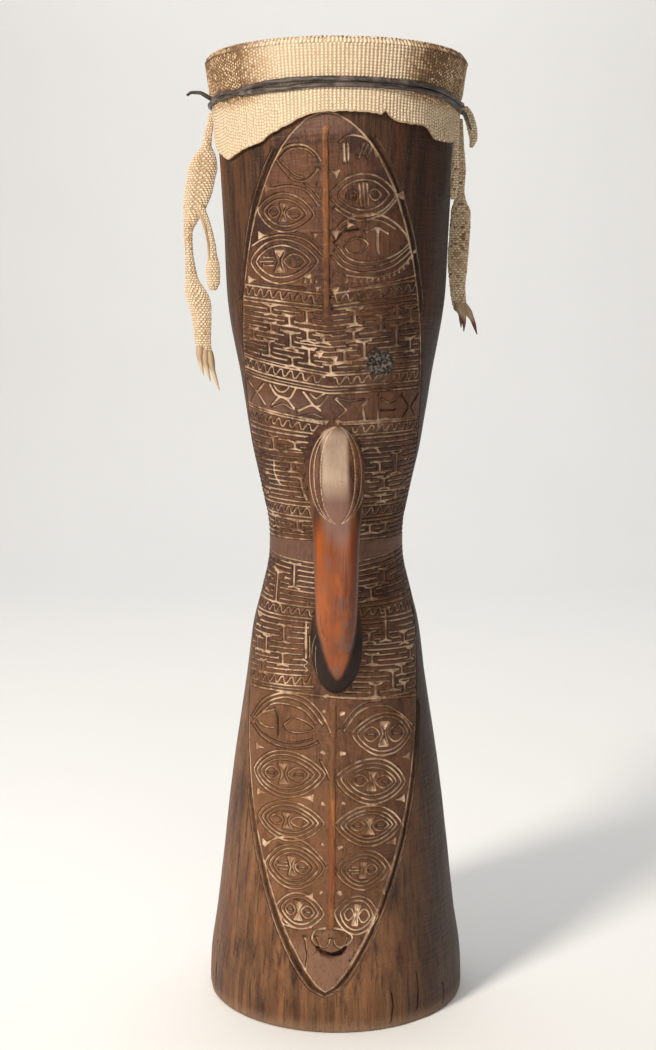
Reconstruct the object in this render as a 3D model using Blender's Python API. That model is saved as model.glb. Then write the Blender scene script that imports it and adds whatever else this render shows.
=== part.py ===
"""Kundu: an hourglass hand drum carved from one log, with a lizard hide head and a vine binding.

The drum stands on its open base. +Z is up, the carved front and its loop handle face -Y,
and the origin is the centre of the base on the floor. Lengths are in metres.
"""

import math

import bmesh
import bpy
import numpy as np
from mathutils import Matrix, Vector
from mathutils.geometry import delaunay_2d_cdt, interpolate_bezier

MM = 0.001

# Log
DRUM_HEIGHT = 600 * MM
BASE_RADIUS = 84 * MM
WAIST_RADIUS = 43 * MM
WAIST_HEIGHT = 299 * MM
HEAD_RADIUS = 80.1 * MM
BASE_WALL = 11 * MM
WAIST_WALL = 16 * MM
HEAD_WALL = 8 * MM
RIM_CHAMFER = 2 * MM
FIT_GAP = 0.4 * MM

# Flare of each bell: share of the way from the waist to the rim, share of the growth in radius
UPPER_FLARE = [
    (0.0, 0.0), (0.03, 0.01), (0.114, 0.135), (0.211, 0.302), (0.339, 0.466),
    (0.53, 0.712), (0.657, 0.755), (0.872, 0.8625), (1.0, 1.0),
]
LOWER_FLARE = [
    (0.0, 0.0), (0.03, 0.01), (0.117, 0.144), (0.183, 0.259), (0.283, 0.359),
    (0.55, 0.644), (0.823, 0.871), (0.927, 0.976), (1.0, 1.0),
]

# Hide over the head
HIDE = 1.5 * MM
COLLAR_DEPTH = 42 * MM
PLEAT_AZIMUTH = math.radians(61)
PLEAT_HEIGHT = 3 * MM
PLEAT_START = 0.75
PLEAT_SPREAD = math.radians(10)

# Lower edge of the hide: azimuth in degrees, share of the collar's depth that hangs there
HIDE_EDGE = [
    (-180, 1.25), (-150, 1.1), (-120, 1.4), (-90, 1.15), (-75, 1.35), (-60, 1.53), (-37, 1.38),
    (-22, 1.17), (-12, 1.04), (1, 1.0), (22, 1.01), (30, 1.1), (45, 1.14), (52, 1.27), (62, 1.3),
    (73, 1.22), (90, 1.15), (120, 1.35), (150, 1.15), (180, 1.25),
]

# Vine binding
VINE_DIAMETER = 3 * MM
VINE_PITCH = 3.6 * MM
VINE_DEPTH = 24.5 * MM
VINE_TURNS = 1.5
VINE_TAIL = 15 * MM

# Way of each tail of the vine: along the winding, outward and up
START_TAIL = (0.55, 0.48, 0.15)
END_TAIL = (0.55, 0.48, -0.75)

# Levels on the log, here and for the carving, are shares of the way from the waist to a rim,
# positive towards the head and negative towards the base

# Loop handle on the front of the waist
HANDLE_TOP = 0.2292
HANDLE_FOOT = -0.2441
GRIP_WIDTH = 27 * MM
GRIP_DEPTH = 17 * MM
FINGER_GAP = 19.5 * MM
ROOT_SINK = 7 * MM
UPPER_POD = (17.5 * MM, 12 * MM, 37 * MM)
LOWER_POD = (16.5 * MM, 12 * MM, 31 * MM)
POD_OVERLAP = 8 * MM
HANDLE_ROUNDNESS = 0.85
HANDLE_SQUARENESS = 0.15

# Width of the handle along its length, as a share of the grip's width
HANDLE_TAPER = [(0.0, 0.8), (0.1, 1.15), (0.2, 1.28), (0.3, 1.22), (0.45, 1.04), (0.6, 1.0),
                (0.75, 0.94), (0.85, 0.78), (1.0, 0.42)]

# Carved panel: a long leaf on the front that meets its own axis at both ends
PANEL_FOOT = -0.913
PANEL_TOP = 0.8605
PANEL_HALF_WIDTH = 73 * MM
SHEET_RADIUS = 65 * MM
PANEL_AZIMUTH = math.radians(-5)
PANEL_LOWER_SHAPE = (1.9, 0.8)
PANEL_UPPER_SHAPE = (3.0, 0.47)
LINE_WIDTH = 2.2 * MM
LINE_DEPTH = 1.3 * MM
LINE_MARGIN = 2.4 * MM
FINE_LINE = 0.8
CORNER_STRETCH = 1.8

# Raised midrib and the snout that ends it
RIB_WIDTH = 5 * MM
RIB_HEIGHT = 1.4 * MM
UPPER_RIB = (0.505, 0.8306)
LOWER_RIB = (-0.786, -0.3378)
SNOUT_LEVEL = -0.806
SNOUT_RADIUS = 8 * MM
SNOUT_RISE = 3.5 * MM

# Pairs of almond eyes in the two ends of the leaf: level and half height of each pair
UPPER_EYES = [(0.7874, 0.0332), (0.6944, 0.0399), (0.598, 0.0432)]
LOWER_EYES = [
    (-0.3746, 0.0418), (-0.4716, 0.0401), (-0.5686, 0.0385), (-0.6605, 0.0368), (-0.7492, 0.0301),
]
EYE_POINTS = 8
EYE_SHARPNESS = 0.4
STROKE_REACH = 0.62
STROKE_LEAN = 0.3

# Carved bands from the top down: kind, level at the midline of its upper and lower edge, and
# how steeply the band climbs from the midline to the leaf's border
BANDS = [
    ("teeth", 0.5017, 0.4817, 0.123),
    ("keys", 0.4817, 0.3455, 0.137),
    ("teeth", 0.3455, 0.3256, 0.151),
    ("crosses", 0.3123, 0.2558, 0.137),
    ("teeth", 0.2558, 0.2326, 0.096),
    ("keys", 0.2326, 0.0797, 0.055),
    ("teeth", 0.0797, 0.0565, 0.027),
    ("plain", 0.0166, -0.0268, 0.0),
    ("keys", -0.0268, -0.1237, 0.0),
    ("teeth", -0.1237, -0.1505, 0.0),
    ("keys", -0.1505, -0.2776, -0.027),
    ("teeth", -0.2843, -0.3077, -0.041),
]
TOOTH_PITCH = 22 * MM
CROSS_PITCH = 17 * MM
KEY_ROW = 17 * MM
KEY_PITCH = 42 * MM
BAND_STEP = 22 * MM
KEY_SERIF = 0.3
CROSS_REACH = 0.27

# Legs and shreds of the hide. Each hangs at a drop below the top of the drum, and its marks are
# shares of its own length: how far down, gap from the log to its middle, and width.
LEFT_LEG_DROP = 34 * MM
LEFT_LEG_LENGTH = 172 * MM
LEFT_LEG = [
    (0.0, 0.016, 0.023), (0.058, 0.033, 0.026), (0.099, 0.043, 0.029), (0.145, 0.055, 0.081),
    (0.198, 0.068, 0.105), (0.256, 0.084, 0.103), (0.326, 0.103, 0.081), (0.372, 0.12, 0.052),
    (0.419, 0.135, 0.026), (0.477, 0.134, 0.026), (0.581, 0.13, 0.044), (0.645, 0.113, 0.085),
    (0.686, 0.106, 0.078), (0.75, 0.109, 0.066), (0.826, 0.12, 0.056), (0.884, 0.115, 0.047),
]
RIGHT_LEG_DROP = 36 * MM
RIGHT_LEG_LENGTH = 134.5 * MM
RIGHT_LEG = [
    (0.0, 0.019, 0.033), (0.104, 0.033, 0.037), (0.223, 0.048, 0.045), (0.32, 0.052, 0.037),
    (0.372, 0.055, 0.059), (0.416, 0.061, 0.093), (0.498, 0.062, 0.095), (0.669, 0.058, 0.093),
    (0.751, 0.063, 0.072), (0.84, 0.078, 0.065), (0.892, 0.093, 0.062),
]
LEFT_SHRED_DROP = 88 * MM
LEFT_SHRED_LENGTH = 55 * MM
LEFT_SHRED = [
    (0.0, 0.266, 0.091), (0.273, 0.171, 0.055), (0.527, 0.133, 0.08), (0.745, 0.144, 0.153),
    (0.891, 0.15, 0.145), (1.0, 0.16, 0.036),
]
RIGHT_SHRED_DROP = 44 * MM
RIGHT_SHRED_LENGTH = 42 * MM
RIGHT_SHRED = [
    (0.0, -0.016, 0.071), (0.214, -0.014, 0.071), (0.643, 0.005, 0.11), (0.881, 0.009, 0.071),
    (1.0, 0.001, 0.095),
]
LEG_THICKNESS = 1.8 * MM
LEG_ROUNDNESS = 0.7
LEFT_LEG_Y = 0 * MM
RIGHT_LEG_Y = 10 * MM
LEFT_SHRED_Y = -1.2 * MM
RIGHT_SHRED_Y = -22 * MM

# Claws, in the same shares of their leg: start, tip, and width at the start
LEFT_CLAWS = [
    ((0.849, 0.132), (0.942, 0.137), 0.026), ((0.86, 0.117), (0.965, 0.118), 0.026),
    ((0.866, 0.1), (1.0, 0.088), 0.023),
]
RIGHT_CLAWS = [
    ((0.855, 0.07), (0.967, 0.105), 0.031), ((0.87, 0.09), (0.985, 0.124), 0.03),
    ((0.862, 0.104), (1.0, 0.193), 0.031),
]
CLAW_POINT = 0.2

# Counts and steps of the faceted surfaces
SIDES = 40
GRID_STEP = 50 * MM
BORDER_STEPS = 20
BORE_RINGS = 7
HIDE_ROWS = 3
HANDLE_SIDES = 12
HANDLE_RINGS = 12
POD_SIDES = 10
POD_RINGS = 7
LEG_SIDES = 6
CLAW_SIDES = 5
TAIL_STEPS = 3

WOOD_TOP = DRUM_HEIGHT - HIDE - FIT_GAP


def smooth_through(points, share):
    """Height of a smooth curve through points that never overshoots them."""
    xs = [point[0] for point in points]
    ys = [point[1] for point in points]
    share = min(max(share, xs[0]), xs[-1])
    slopes = [(ys[i + 1] - ys[i]) / (xs[i + 1] - xs[i]) for i in range(len(xs) - 1)]
    turns = [slopes[0]]
    for before, after in zip(slopes, slopes[1:]):
        turns.append(2 * before * after / (before + after) if before * after > 0 else 0.0)
    turns.append(slopes[-1])
    i = max(k for k in range(len(slopes)) if xs[k] <= share)
    span = xs[i + 1] - xs[i]
    t = (share - xs[i]) / span
    start = (2 * t ** 3 - 3 * t ** 2 + 1) * ys[i] + (t ** 3 - 2 * t ** 2 + t) * span * turns[i]
    end = (3 * t ** 2 - 2 * t ** 3) * ys[i + 1] + (t ** 3 - t ** 2) * span * turns[i + 1]
    return start + end


def log_radius(height):
    """Outer radius of the log, before any carving."""
    if height >= WAIST_HEIGHT:
        share = (height - WAIST_HEIGHT) / (WOOD_TOP - WAIST_HEIGHT)
        return WAIST_RADIUS + (HEAD_RADIUS - WAIST_RADIUS) * smooth_through(UPPER_FLARE, share)
    share = (WAIST_HEIGHT - height) / WAIST_HEIGHT
    return WAIST_RADIUS + (BASE_RADIUS - WAIST_RADIUS) * smooth_through(LOWER_FLARE, share)


def bore_radius(height):
    """Radius of the hollow, which runs right through the log."""
    if height >= WAIST_HEIGHT:
        share = (height - WAIST_HEIGHT) / (WOOD_TOP - WAIST_HEIGHT)
        wall = WAIST_WALL + (HEAD_WALL - WAIST_WALL) * share
    else:
        share = (WAIST_HEIGHT - height) / WAIST_HEIGHT
        wall = WAIST_WALL + (BASE_WALL - WAIST_WALL) * share
    return log_radius(height) - wall


def on_circle(radius, azimuth, height):
    """Point at an azimuth counted from the front, positive to the right."""
    return Vector((radius * math.sin(azimuth), -radius * math.cos(azimuth), height))


def level(share):
    """Height at a share of the way from the waist to the head, or below zero to the base."""
    return WAIST_HEIGHT + share * (DRUM_HEIGHT - WAIST_HEIGHT if share > 0 else WAIST_HEIGHT)


def make_material(name, colour, roughness):
    """Principled material of one colour."""
    material = bpy.data.materials.new(name)
    material.use_nodes = True
    shader = material.node_tree.nodes["Principled BSDF"]
    shader.inputs["Base Color"].default_value = (*colour, 1.0)
    shader.inputs["Roughness"].default_value = roughness
    shader.inputs["Metallic"].default_value = 0.0
    return material


def add_object(name, bm, material):
    """Object made of a bmesh, with its faces outward."""
    bmesh.ops.recalc_face_normals(bm, faces=bm.faces)
    mesh = bpy.data.meshes.new(name)
    bm.to_mesh(mesh)
    bm.free()
    mesh.materials.append(material)
    mesh.shade_smooth()
    mesh.set_sharp_from_angle(angle=math.radians(35))
    thing = bpy.data.objects.new(name, mesh)
    bpy.context.scene.collection.objects.link(thing)
    return thing


def hidden_form(name, bm, material):
    """Closed form that is only there to be united with a piece."""
    form = add_object(name, bm, material)
    form.hide_render = True
    form.display_type = "WIRE"
    return form


def unite(target, form):
    """Union of a piece with a hidden form."""
    union = target.modifiers.new(form.name, "BOOLEAN")
    union.operation = "UNION"
    union.solver = "EXACT"
    union.object = form


def join_to(target, bm, name):
    """Union of a piece with a new closed form."""
    unite(target, hidden_form(name, bm, target.data.materials[0]))


# The carving is laid out on a flat sheet. Its first coordinate is the azimuth times
# SHEET_RADIUS and its second is the height, so the sheet wraps once round the log.

def panel_half_width(height):
    """Half width of the leaf along the surface of the log."""
    middle = (level(PANEL_FOOT) + level(PANEL_TOP)) / 2
    power, root = PANEL_UPPER_SHAPE if height > middle else PANEL_LOWER_SHAPE
    share = min(abs(height - middle) / (level(PANEL_TOP) - middle), 1.0)
    return PANEL_HALF_WIDTH * (1 - share ** power) ** root


def on_sheet(across, height):
    """Sheet point at a distance along the surface from the leaf's midline."""
    azimuth = PANEL_AZIMUTH + across / log_radius(height)
    return (azimuth * SHEET_RADIUS, height)


class Line:
    """A carved groove, or with a negative depth a raised rib."""

    def __init__(self, points, width=LINE_WIDTH, depth=LINE_DEPTH, closed=False):
        self.points = [np.array(point) for point in points]
        self.half = width / 2
        self.depth = depth
        self.closed = closed

    def normals(self):
        """Sideways direction at each point, longer at a corner."""
        count = len(self.points)
        found = []
        for i, point in enumerate(self.points):
            before = self.points[i - 1] if self.closed or i else None
            after = self.points[(i + 1) % count] if self.closed or i + 1 < count else None
            ways = [b - a for a, b in ((before, point), (point, after)) if a is not None and b is not None]
            ways = [way / np.linalg.norm(way) for way in ways]
            way = sum(ways)
            length = np.linalg.norm(way)
            stretch = min(len(ways) / length, CORNER_STRETCH)
            found.append(np.array((-way[1], way[0])) / length * stretch)
        return found

    def add_to(self, points, edges):
        """Put the groove's two edges and its bottom on the sheet."""
        normals = self.normals()
        left = [p + n * self.half for p, n in zip(self.points, normals)]
        right = [p - n * self.half for p, n in zip(self.points, normals)]
        if self.closed:
            loops = [left, right, self.points]
            for loop in loops:
                add_path(points, edges, loop, True)
            return
        add_path(points, edges, left + right[::-1], True)
        add_path(points, edges, self.points, False)

    def segments(self):
        """Pairs of points that the bottom runs between."""
        pairs = list(zip(self.points, self.points[1:]))
        if self.closed:
            pairs.append((self.points[-1], self.points[0]))
        return pairs


def add_path(points, edges, path, closed):
    """Add a run of joined points to the sheet."""
    first = len(points)
    points.extend(Vector((float(x), float(y))) for x, y in path)
    last = len(points) - 1
    edges.extend((i, i + 1) for i in range(first, last))
    if closed:
        edges.append((last, first))


def border_lines():
    """The leaf's outline, a closed groove that meets at both ends."""
    foot = level(PANEL_FOOT)
    top = level(PANEL_TOP)
    heights = []
    for i in range(BORDER_STEPS + 1):
        share = (1 - math.cos(math.pi * i / BORDER_STEPS)) / 2
        heights.append(foot + (top - foot) * share)
    left = [on_sheet(-panel_half_width(h), h) for h in heights]
    right = [on_sheet(panel_half_width(h), h) for h in heights]
    return [Line(left + right[-2:0:-1], closed=True)]


def rib_lines():
    """The raised midrib above and below the handle."""
    lines = []
    for ends in (UPPER_RIB, LOWER_RIB):
        foot, top = (level(end) for end in ends)
        steps = max(int((top - foot) / BAND_STEP), 2)
        heights = [foot + (top - foot) * i / steps for i in range(steps + 1)]
        lines.append(Line([on_sheet(0, h) for h in heights], RIB_WIDTH, -RIB_HEIGHT))
    return lines


def eye_lines():
    """Almond eyes left and right of the midrib, each with a cross inside."""
    lines = []
    for middle, half in UPPER_EYES + LOWER_EYES:
        height = level(middle)
        half_height = level(middle + half) - height
        inner = RIB_WIDTH / 2 + LINE_MARGIN
        outer = min(panel_half_width(height + half_height / 2), panel_half_width(height - half_height / 2))
        outer -= LINE_MARGIN
        centre = (inner + outer) / 2
        half_length = (outer - inner) / 2
        for side in (-1, 1):
            almond = []
            for i in range(EYE_POINTS):
                turn = 2 * math.pi * i / EYE_POINTS
                across = centre * side + half_length * math.cos(turn)
                up = half_height * math.sin(turn) * abs(math.sin(turn)) ** EYE_SHARPNESS
                almond.append(on_sheet(across, height + up))
            lines.append(Line(almond, closed=True))
            for bend in (-1, 1):
                stroke = []
                for up in (-STROKE_REACH, STROKE_REACH):
                    across = centre * side + bend * up * half_length * STROKE_LEAN
                    stroke.append(on_sheet(across, height + up * half_height))
                lines.append(Line(stroke, LINE_WIDTH * FINE_LINE))
    return lines


def band_height(height, climb, across):
    """Height of a band's edge, which climbs from the midline to the border."""
    return height + climb * abs(across)


def across_band(height, climb, step, margin):
    """Even places along a band's edge, from border to border."""
    reach = panel_half_width(height + climb * PANEL_HALF_WIDTH) - margin
    count = max(int(2 * reach / step), 2)
    return [-reach + 2 * reach * i / count for i in range(count + 1)]


def edge_line(height, climb):
    """One groove that runs right across the leaf."""
    places = across_band(height, climb, BAND_STEP, 0)
    return Line([on_sheet(a, band_height(height, climb, a)) for a in places])


def tooth_lines(top, foot, climb):
    """A zigzag between two grooves."""
    places = across_band(foot, climb, TOOTH_PITCH / 2, LINE_MARGIN)
    points = []
    for i, across in enumerate(places):
        height = top - LINE_WIDTH / 2 if i % 2 else foot + LINE_WIDTH / 2
        points.append(on_sheet(across, band_height(height, climb, across)))
    zigzag = Line(points, LINE_WIDTH * FINE_LINE, LINE_DEPTH * FINE_LINE)
    return [edge_line(top, climb), zigzag, edge_line(foot, climb)]


def cross_lines(top, foot, climb):
    """A row of crosses between two bands of teeth."""
    lines = []
    places = across_band(foot, climb, CROSS_PITCH, CROSS_PITCH / 2)
    reach = CROSS_PITCH * CROSS_REACH
    for across in places:
        low = foot + LINE_MARGIN
        high = top - LINE_MARGIN
        for side in (-1, 1):
            start = on_sheet(across - reach * side, band_height(low, climb, across))
            end = on_sheet(across + reach * side, band_height(high, climb, across))
            lines.append(Line([start, end]))
    return lines


def key_lines(top, foot, climb):
    """Rows of I shaped strokes that stand in each other's gaps."""
    rows = max(round((top - foot) / KEY_ROW), 1)
    row = (top - foot) / rows
    half = KEY_PITCH * KEY_SERIF
    lines = []
    for k in range(rows):
        low = foot + row * k + LINE_MARGIN * FINE_LINE
        high = foot + row * (k + 1) - LINE_MARGIN * FINE_LINE
        reach = panel_half_width(low + climb * PANEL_HALF_WIDTH) - LINE_MARGIN - half
        shift = 0.5 if k % 2 else 0.0
        for i in range(int(-reach / KEY_PITCH) - 1, int(reach / KEY_PITCH) + 2):
            across = KEY_PITCH * (i + shift)
            if abs(across) > reach:
                continue
            stem = [on_sheet(across, band_height(height, climb, across))
                    for height in (low + LINE_WIDTH / 2, high - LINE_WIDTH / 2)]
            lines.append(Line(stem, LINE_WIDTH * FINE_LINE))
            for height in (low, high):
                ends = [on_sheet(across + end, band_height(height, climb, across)) for end in (-half, half)]
                lines.append(Line(ends, LINE_WIDTH * FINE_LINE))
    return lines


def band_lines():
    """All the bands between the two ends of the leaf."""
    lines = []
    for kind, upper, lower, climb in BANDS:
        top = level(upper)
        foot = level(lower)
        if kind == "teeth":
            lines += tooth_lines(top, foot, climb)
        elif kind == "crosses":
            lines += cross_lines(top, foot, climb)
        elif kind == "keys":
            lines += key_lines(top, foot, climb)
        else:
            lines += [edge_line(top, climb), edge_line(foot, climb)]
    return lines


def nearest(points, line):
    """Distance from each point to the bottom of a groove."""
    best = np.full(len(points), np.inf)
    for a, b in line.segments():
        along = b - a
        share = np.clip(((points - a) @ along) / (along @ along), 0, 1)
        gap = points - a - share[:, None] * along
        best = np.minimum(best, np.hypot(gap[:, 0], gap[:, 1]))
    return best


def carved_depth(points, lines):
    """How far each sheet point lies below the log's own surface."""
    cut = np.zeros(len(points))
    rib = np.zeros(len(points))
    for line in lines:
        depth = line.depth * np.clip(1 - nearest(points, line) / line.half, 0, 1)
        cut = np.maximum(cut, depth)
        rib = np.minimum(rib, depth)
    snout = np.array(on_sheet(0, level(SNOUT_LEVEL)))
    away = np.hypot(points[:, 0] - snout[0], points[:, 1] - snout[1])
    rib = np.minimum(rib, -SNOUT_RISE * np.clip(1 - (away / SNOUT_RADIUS) ** 2, 0, 1))
    return cut + rib


def snout_points():
    """Rings of points that shape the snout."""
    centre = on_sheet(0, level(SNOUT_LEVEL))
    found = [Vector(centre)]
    for share, count in ((0.5, 6), (1.0, 10)):
        for i in range(count):
            turn = 2 * math.pi * i / count
            reach = SNOUT_RADIUS * share
            found.append(Vector((centre[0] + reach * math.cos(turn), centre[1] + reach * math.sin(turn))))
    return found


def grid_heights(foot, top):
    """Heights of the plain rows, close together under the hide that the log must clear."""
    hem = DRUM_HEIGHT - COLLAR_DEPTH * max(share for _, share in HIDE_EDGE)
    rows = round((hem - foot) / GRID_STEP)
    close_rows = round((top - hem) / (GRID_STEP / 2))
    heights = [foot + (hem - foot) * k / rows for k in range(rows)]
    return heights + [hem + (top - hem) * k / close_rows for k in range(close_rows + 1)]


def sheet_grid(lines, foot, top):
    """Even points over the sheet that keep clear of the grooves."""
    width = 2 * math.pi * SHEET_RADIUS
    heights = grid_heights(foot, top)
    rim, inside = [], []
    for height in heights:
        for i in range(SIDES + 1):
            point = (width * (i / SIDES - 0.5), height)
            on_rim = height in (heights[0], heights[-1]) or i in (0, SIDES)
            (rim if on_rim else inside).append(point)
    inside = np.array(inside)
    clear = np.full(len(inside), np.inf)
    for line in lines:
        clear = np.minimum(clear, nearest(inside, line) - line.half)
    kept = inside[clear > LINE_WIDTH]
    return [Vector(p) for p in rim] + [Vector((float(x), float(y))) for x, y in kept]


def carved_surface(bm):
    """Outer surface of the log with its carving, an open tube of faces."""
    foot = RIM_CHAMFER
    top = WOOD_TOP - RIM_CHAMFER
    lines = border_lines() + rib_lines() + eye_lines() + band_lines()
    points, edges = [], []
    for line in lines:
        line.add_to(points, edges)
    points += snout_points()
    points += sheet_grid(lines, foot, top)
    nearness = 0.1 * MM
    places, _, faces, _, _, _ = delaunay_2d_cdt(points, edges, [], 0, nearness, False)
    flat = np.array([(p.x, p.y) for p in places])
    depth = carved_depth(flat, lines)
    verts = []
    for (x, height), cut in zip(flat, depth):
        verts.append(bm.verts.new(on_circle(log_radius(height) - cut, x / SHEET_RADIUS, height)))
    for face in faces:
        bm.faces.new([verts[i] for i in face])
    bmesh.ops.remove_doubles(bm, verts=bm.verts, dist=0.02 * MM)
    bmesh.ops.dissolve_degenerate(bm, edges=bm.edges, dist=0.02 * MM)


def extrude_rim(bm, rim, radius, height):
    """Next ring of a turned surface, from the open edges of the last one."""
    made = bmesh.ops.extrude_edge_only(bm, edges=rim)["geom"]
    for vert in (item for item in made if isinstance(item, bmesh.types.BMVert)):
        azimuth = math.atan2(vert.co.x, -vert.co.y)
        vert.co = on_circle(radius, azimuth, height)
    return [item for item in made if isinstance(item, bmesh.types.BMEdge) and item.is_boundary]


def open_edges(bm, low, high):
    """Open edges that lie between two heights."""
    return [e for e in bm.edges if e.is_boundary and all(low <= v.co.z <= high for v in e.verts)]


def build_drum_body():
    """The carved log: hourglass wall, through hollow and loop handle."""
    bm = bmesh.new()
    carved_surface(bm)
    middle = DRUM_HEIGHT / 2
    rim = open_edges(bm, 0, middle)
    top_rim = open_edges(bm, middle, DRUM_HEIGHT)
    rim = extrude_rim(bm, rim, BASE_RADIUS - RIM_CHAMFER, 0)
    for i in range(BORE_RINGS + 1):
        height = WOOD_TOP * i / BORE_RINGS
        rim = extrude_rim(bm, rim, bore_radius(height), height)
    top_rim = extrude_rim(bm, top_rim, HEAD_RADIUS - RIM_CHAMFER, WOOD_TOP)
    bmesh.ops.bridge_loops(bm, edges=rim + top_rim)
    wood = make_material("dark_carved_wood", (0.060, 0.030, 0.018), 0.55)
    body = add_object("drum_body", bm, wood)
    handle = hidden_form("handle_form", handle_loop(), wood)
    join_to(handle, handle_pod(level(HANDLE_TOP), -1, UPPER_POD), "upper_pod_form")
    join_to(handle, handle_pod(level(HANDLE_FOOT), 1, LOWER_POD), "lower_pod_form")
    unite(body, handle)
    return body


def handle_pod(end, towards_grip, size):
    """Swelling of the log that the handle springs from."""
    width, depth, height = size
    centre = end + towards_grip * (height - POD_OVERLAP)
    bm = bmesh.new()
    bmesh.ops.create_uvsphere(bm, u_segments=POD_SIDES, v_segments=POD_RINGS, radius=1.0)
    bmesh.ops.scale(bm, vec=(width, depth, height), verts=bm.verts)
    lean = math.atan2(log_radius(centre + height / 2) - log_radius(centre - height / 2), height)
    bmesh.ops.rotate(bm, matrix=Matrix.Rotation(lean, 3, "X"), verts=bm.verts)
    bmesh.ops.translate(bm, vec=(0, -log_radius(centre), centre), verts=bm.verts)
    return bm


def handle_path():
    """Centre line of the handle in the plane x = 0, from its upper root to its lower one."""
    reach = WAIST_RADIUS + FINGER_GAP + GRIP_DEPTH / 2
    top = Vector((0, ROOT_SINK - log_radius(level(HANDLE_TOP)), level(HANDLE_TOP)))
    foot = Vector((0, ROOT_SINK - log_radius(level(HANDLE_FOOT)), level(HANDLE_FOOT)))
    # a cubic reaches three quarters of the way to its control points
    out = (-reach - (top.y + foot.y) / 8) / 0.75
    drop = (top.z - foot.z) * HANDLE_SQUARENESS
    return interpolate_bezier(top, Vector((0, out, top.z - drop)), Vector((0, out, foot.z + drop)),
                              foot, HANDLE_RINGS)


def section_ring(bm, centre, side, lift, half_width, half_depth, sides, roundness):
    """Ring of points round a centre, between an ellipse and a rectangle."""
    ring = []
    for i in range(sides):
        turn = 2 * math.pi * (i + 0.5) / sides
        c, s = math.cos(turn), math.sin(turn)
        x = math.copysign(abs(c) ** roundness, c) * half_width
        y = math.copysign(abs(s) ** roundness, s) * half_depth
        ring.append(bm.verts.new(centre + side * x + lift * y))
    return ring


def loft(rings, bm):
    """Closed skin over a run of rings."""
    sides = len(rings[0])
    for below, above in zip(rings, rings[1:]):
        for i in range(sides):
            j = (i + 1) % sides
            bm.faces.new((below[i], below[j], above[j], above[i]))
    bm.faces.new(rings[0][::-1])
    bm.faces.new(rings[-1])


def handle_loop():
    """The grip, from one root to the other."""
    path = handle_path()
    bm = bmesh.new()
    rings = []
    for i, centre in enumerate(path):
        share = i / (len(path) - 1)
        along = (path[min(i + 1, len(path) - 1)] - path[max(i - 1, 0)]).normalized()
        side = Vector((1, 0, 0))
        lift = side.cross(along)
        half_width = GRIP_WIDTH / 2 * smooth_through(HANDLE_TAPER, share)
        rings.append(section_ring(bm, centre, side, lift, half_width, GRIP_DEPTH / 2, HANDLE_SIDES,
                                  HANDLE_ROUNDNESS))
    loft(rings, bm)
    return bm


def hide_edge(azimuth):
    """Height of the hide's ragged lower edge."""
    return DRUM_HEIGHT - COLLAR_DEPTH * smooth_through(HIDE_EDGE, math.degrees(azimuth))


def pleat(azimuth, share):
    """Outward fold of the hide, deepest at its lower edge."""
    away = (azimuth - PLEAT_AZIMUTH) / PLEAT_SPREAD
    below = (share - PLEAT_START) / (1 - PLEAT_START)
    return PLEAT_HEIGHT * max(1 - abs(away), 0) * max(below, 0)


def build_lizard_skin():
    """The hide: a taut head, its collar down the log, and the animal's legs."""
    bm = bmesh.new()
    rows = [k / HIDE_ROWS for k in range(HIDE_ROWS + 1)]
    azimuths = [2 * math.pi * i / SIDES - math.pi for i in range(SIDES)]
    shoulder = WOOD_TOP - RIM_CHAMFER

    def hide_ring(share, outset):
        ring = []
        for azimuth in azimuths:
            height = shoulder + (hide_edge(azimuth) - shoulder) * share
            radius = log_radius(height) + FIT_GAP + outset + pleat(azimuth, share)
            ring.append(bm.verts.new(on_circle(radius, azimuth, height)))
        return ring

    def flat_ring(radius, height):
        return [bm.verts.new(on_circle(radius, azimuth, height)) for azimuth in azimuths]

    edge_radius = HEAD_RADIUS - RIM_CHAMFER
    rings = [flat_ring(edge_radius + HIDE / 2, DRUM_HEIGHT)]
    rings += [hide_ring(share, HIDE) for share in rows]
    rings += [hide_ring(share, 0) for share in reversed(rows)]
    rings.append(flat_ring(edge_radius, WOOD_TOP + FIT_GAP))
    loft(rings, bm)
    skin = add_object("lizard_skin", bm, make_material("dry_lizard_hide", (0.62, 0.50, 0.33), 0.7))
    left_leg = Strip(-1, LEFT_LEG_Y, LEFT_LEG_DROP, LEFT_LEG_LENGTH)
    right_leg = Strip(1, RIGHT_LEG_Y, RIGHT_LEG_DROP, RIGHT_LEG_LENGTH)
    left_shred = Strip(-1, LEFT_SHRED_Y, LEFT_SHRED_DROP, LEFT_SHRED_LENGTH)
    right_shred = Strip(1, RIGHT_SHRED_Y, RIGHT_SHRED_DROP, RIGHT_SHRED_LENGTH)
    join_to(skin, left_leg.form(LEFT_LEG), "left_leg_form")
    join_to(skin, right_leg.form(RIGHT_LEG), "right_leg_form")
    join_to(skin, left_shred.form(LEFT_SHRED), "left_shred_form")
    join_to(skin, right_shred.form(RIGHT_SHRED), "right_shred_form")
    for i, claw in enumerate(LEFT_CLAWS):
        join_to(skin, left_leg.claw(claw), f"left_claw_form_{i + 1}")
    for i, claw in enumerate(RIGHT_CLAWS):
        join_to(skin, right_leg.claw(claw), f"right_claw_form_{i + 1}")
    return skin


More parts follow.
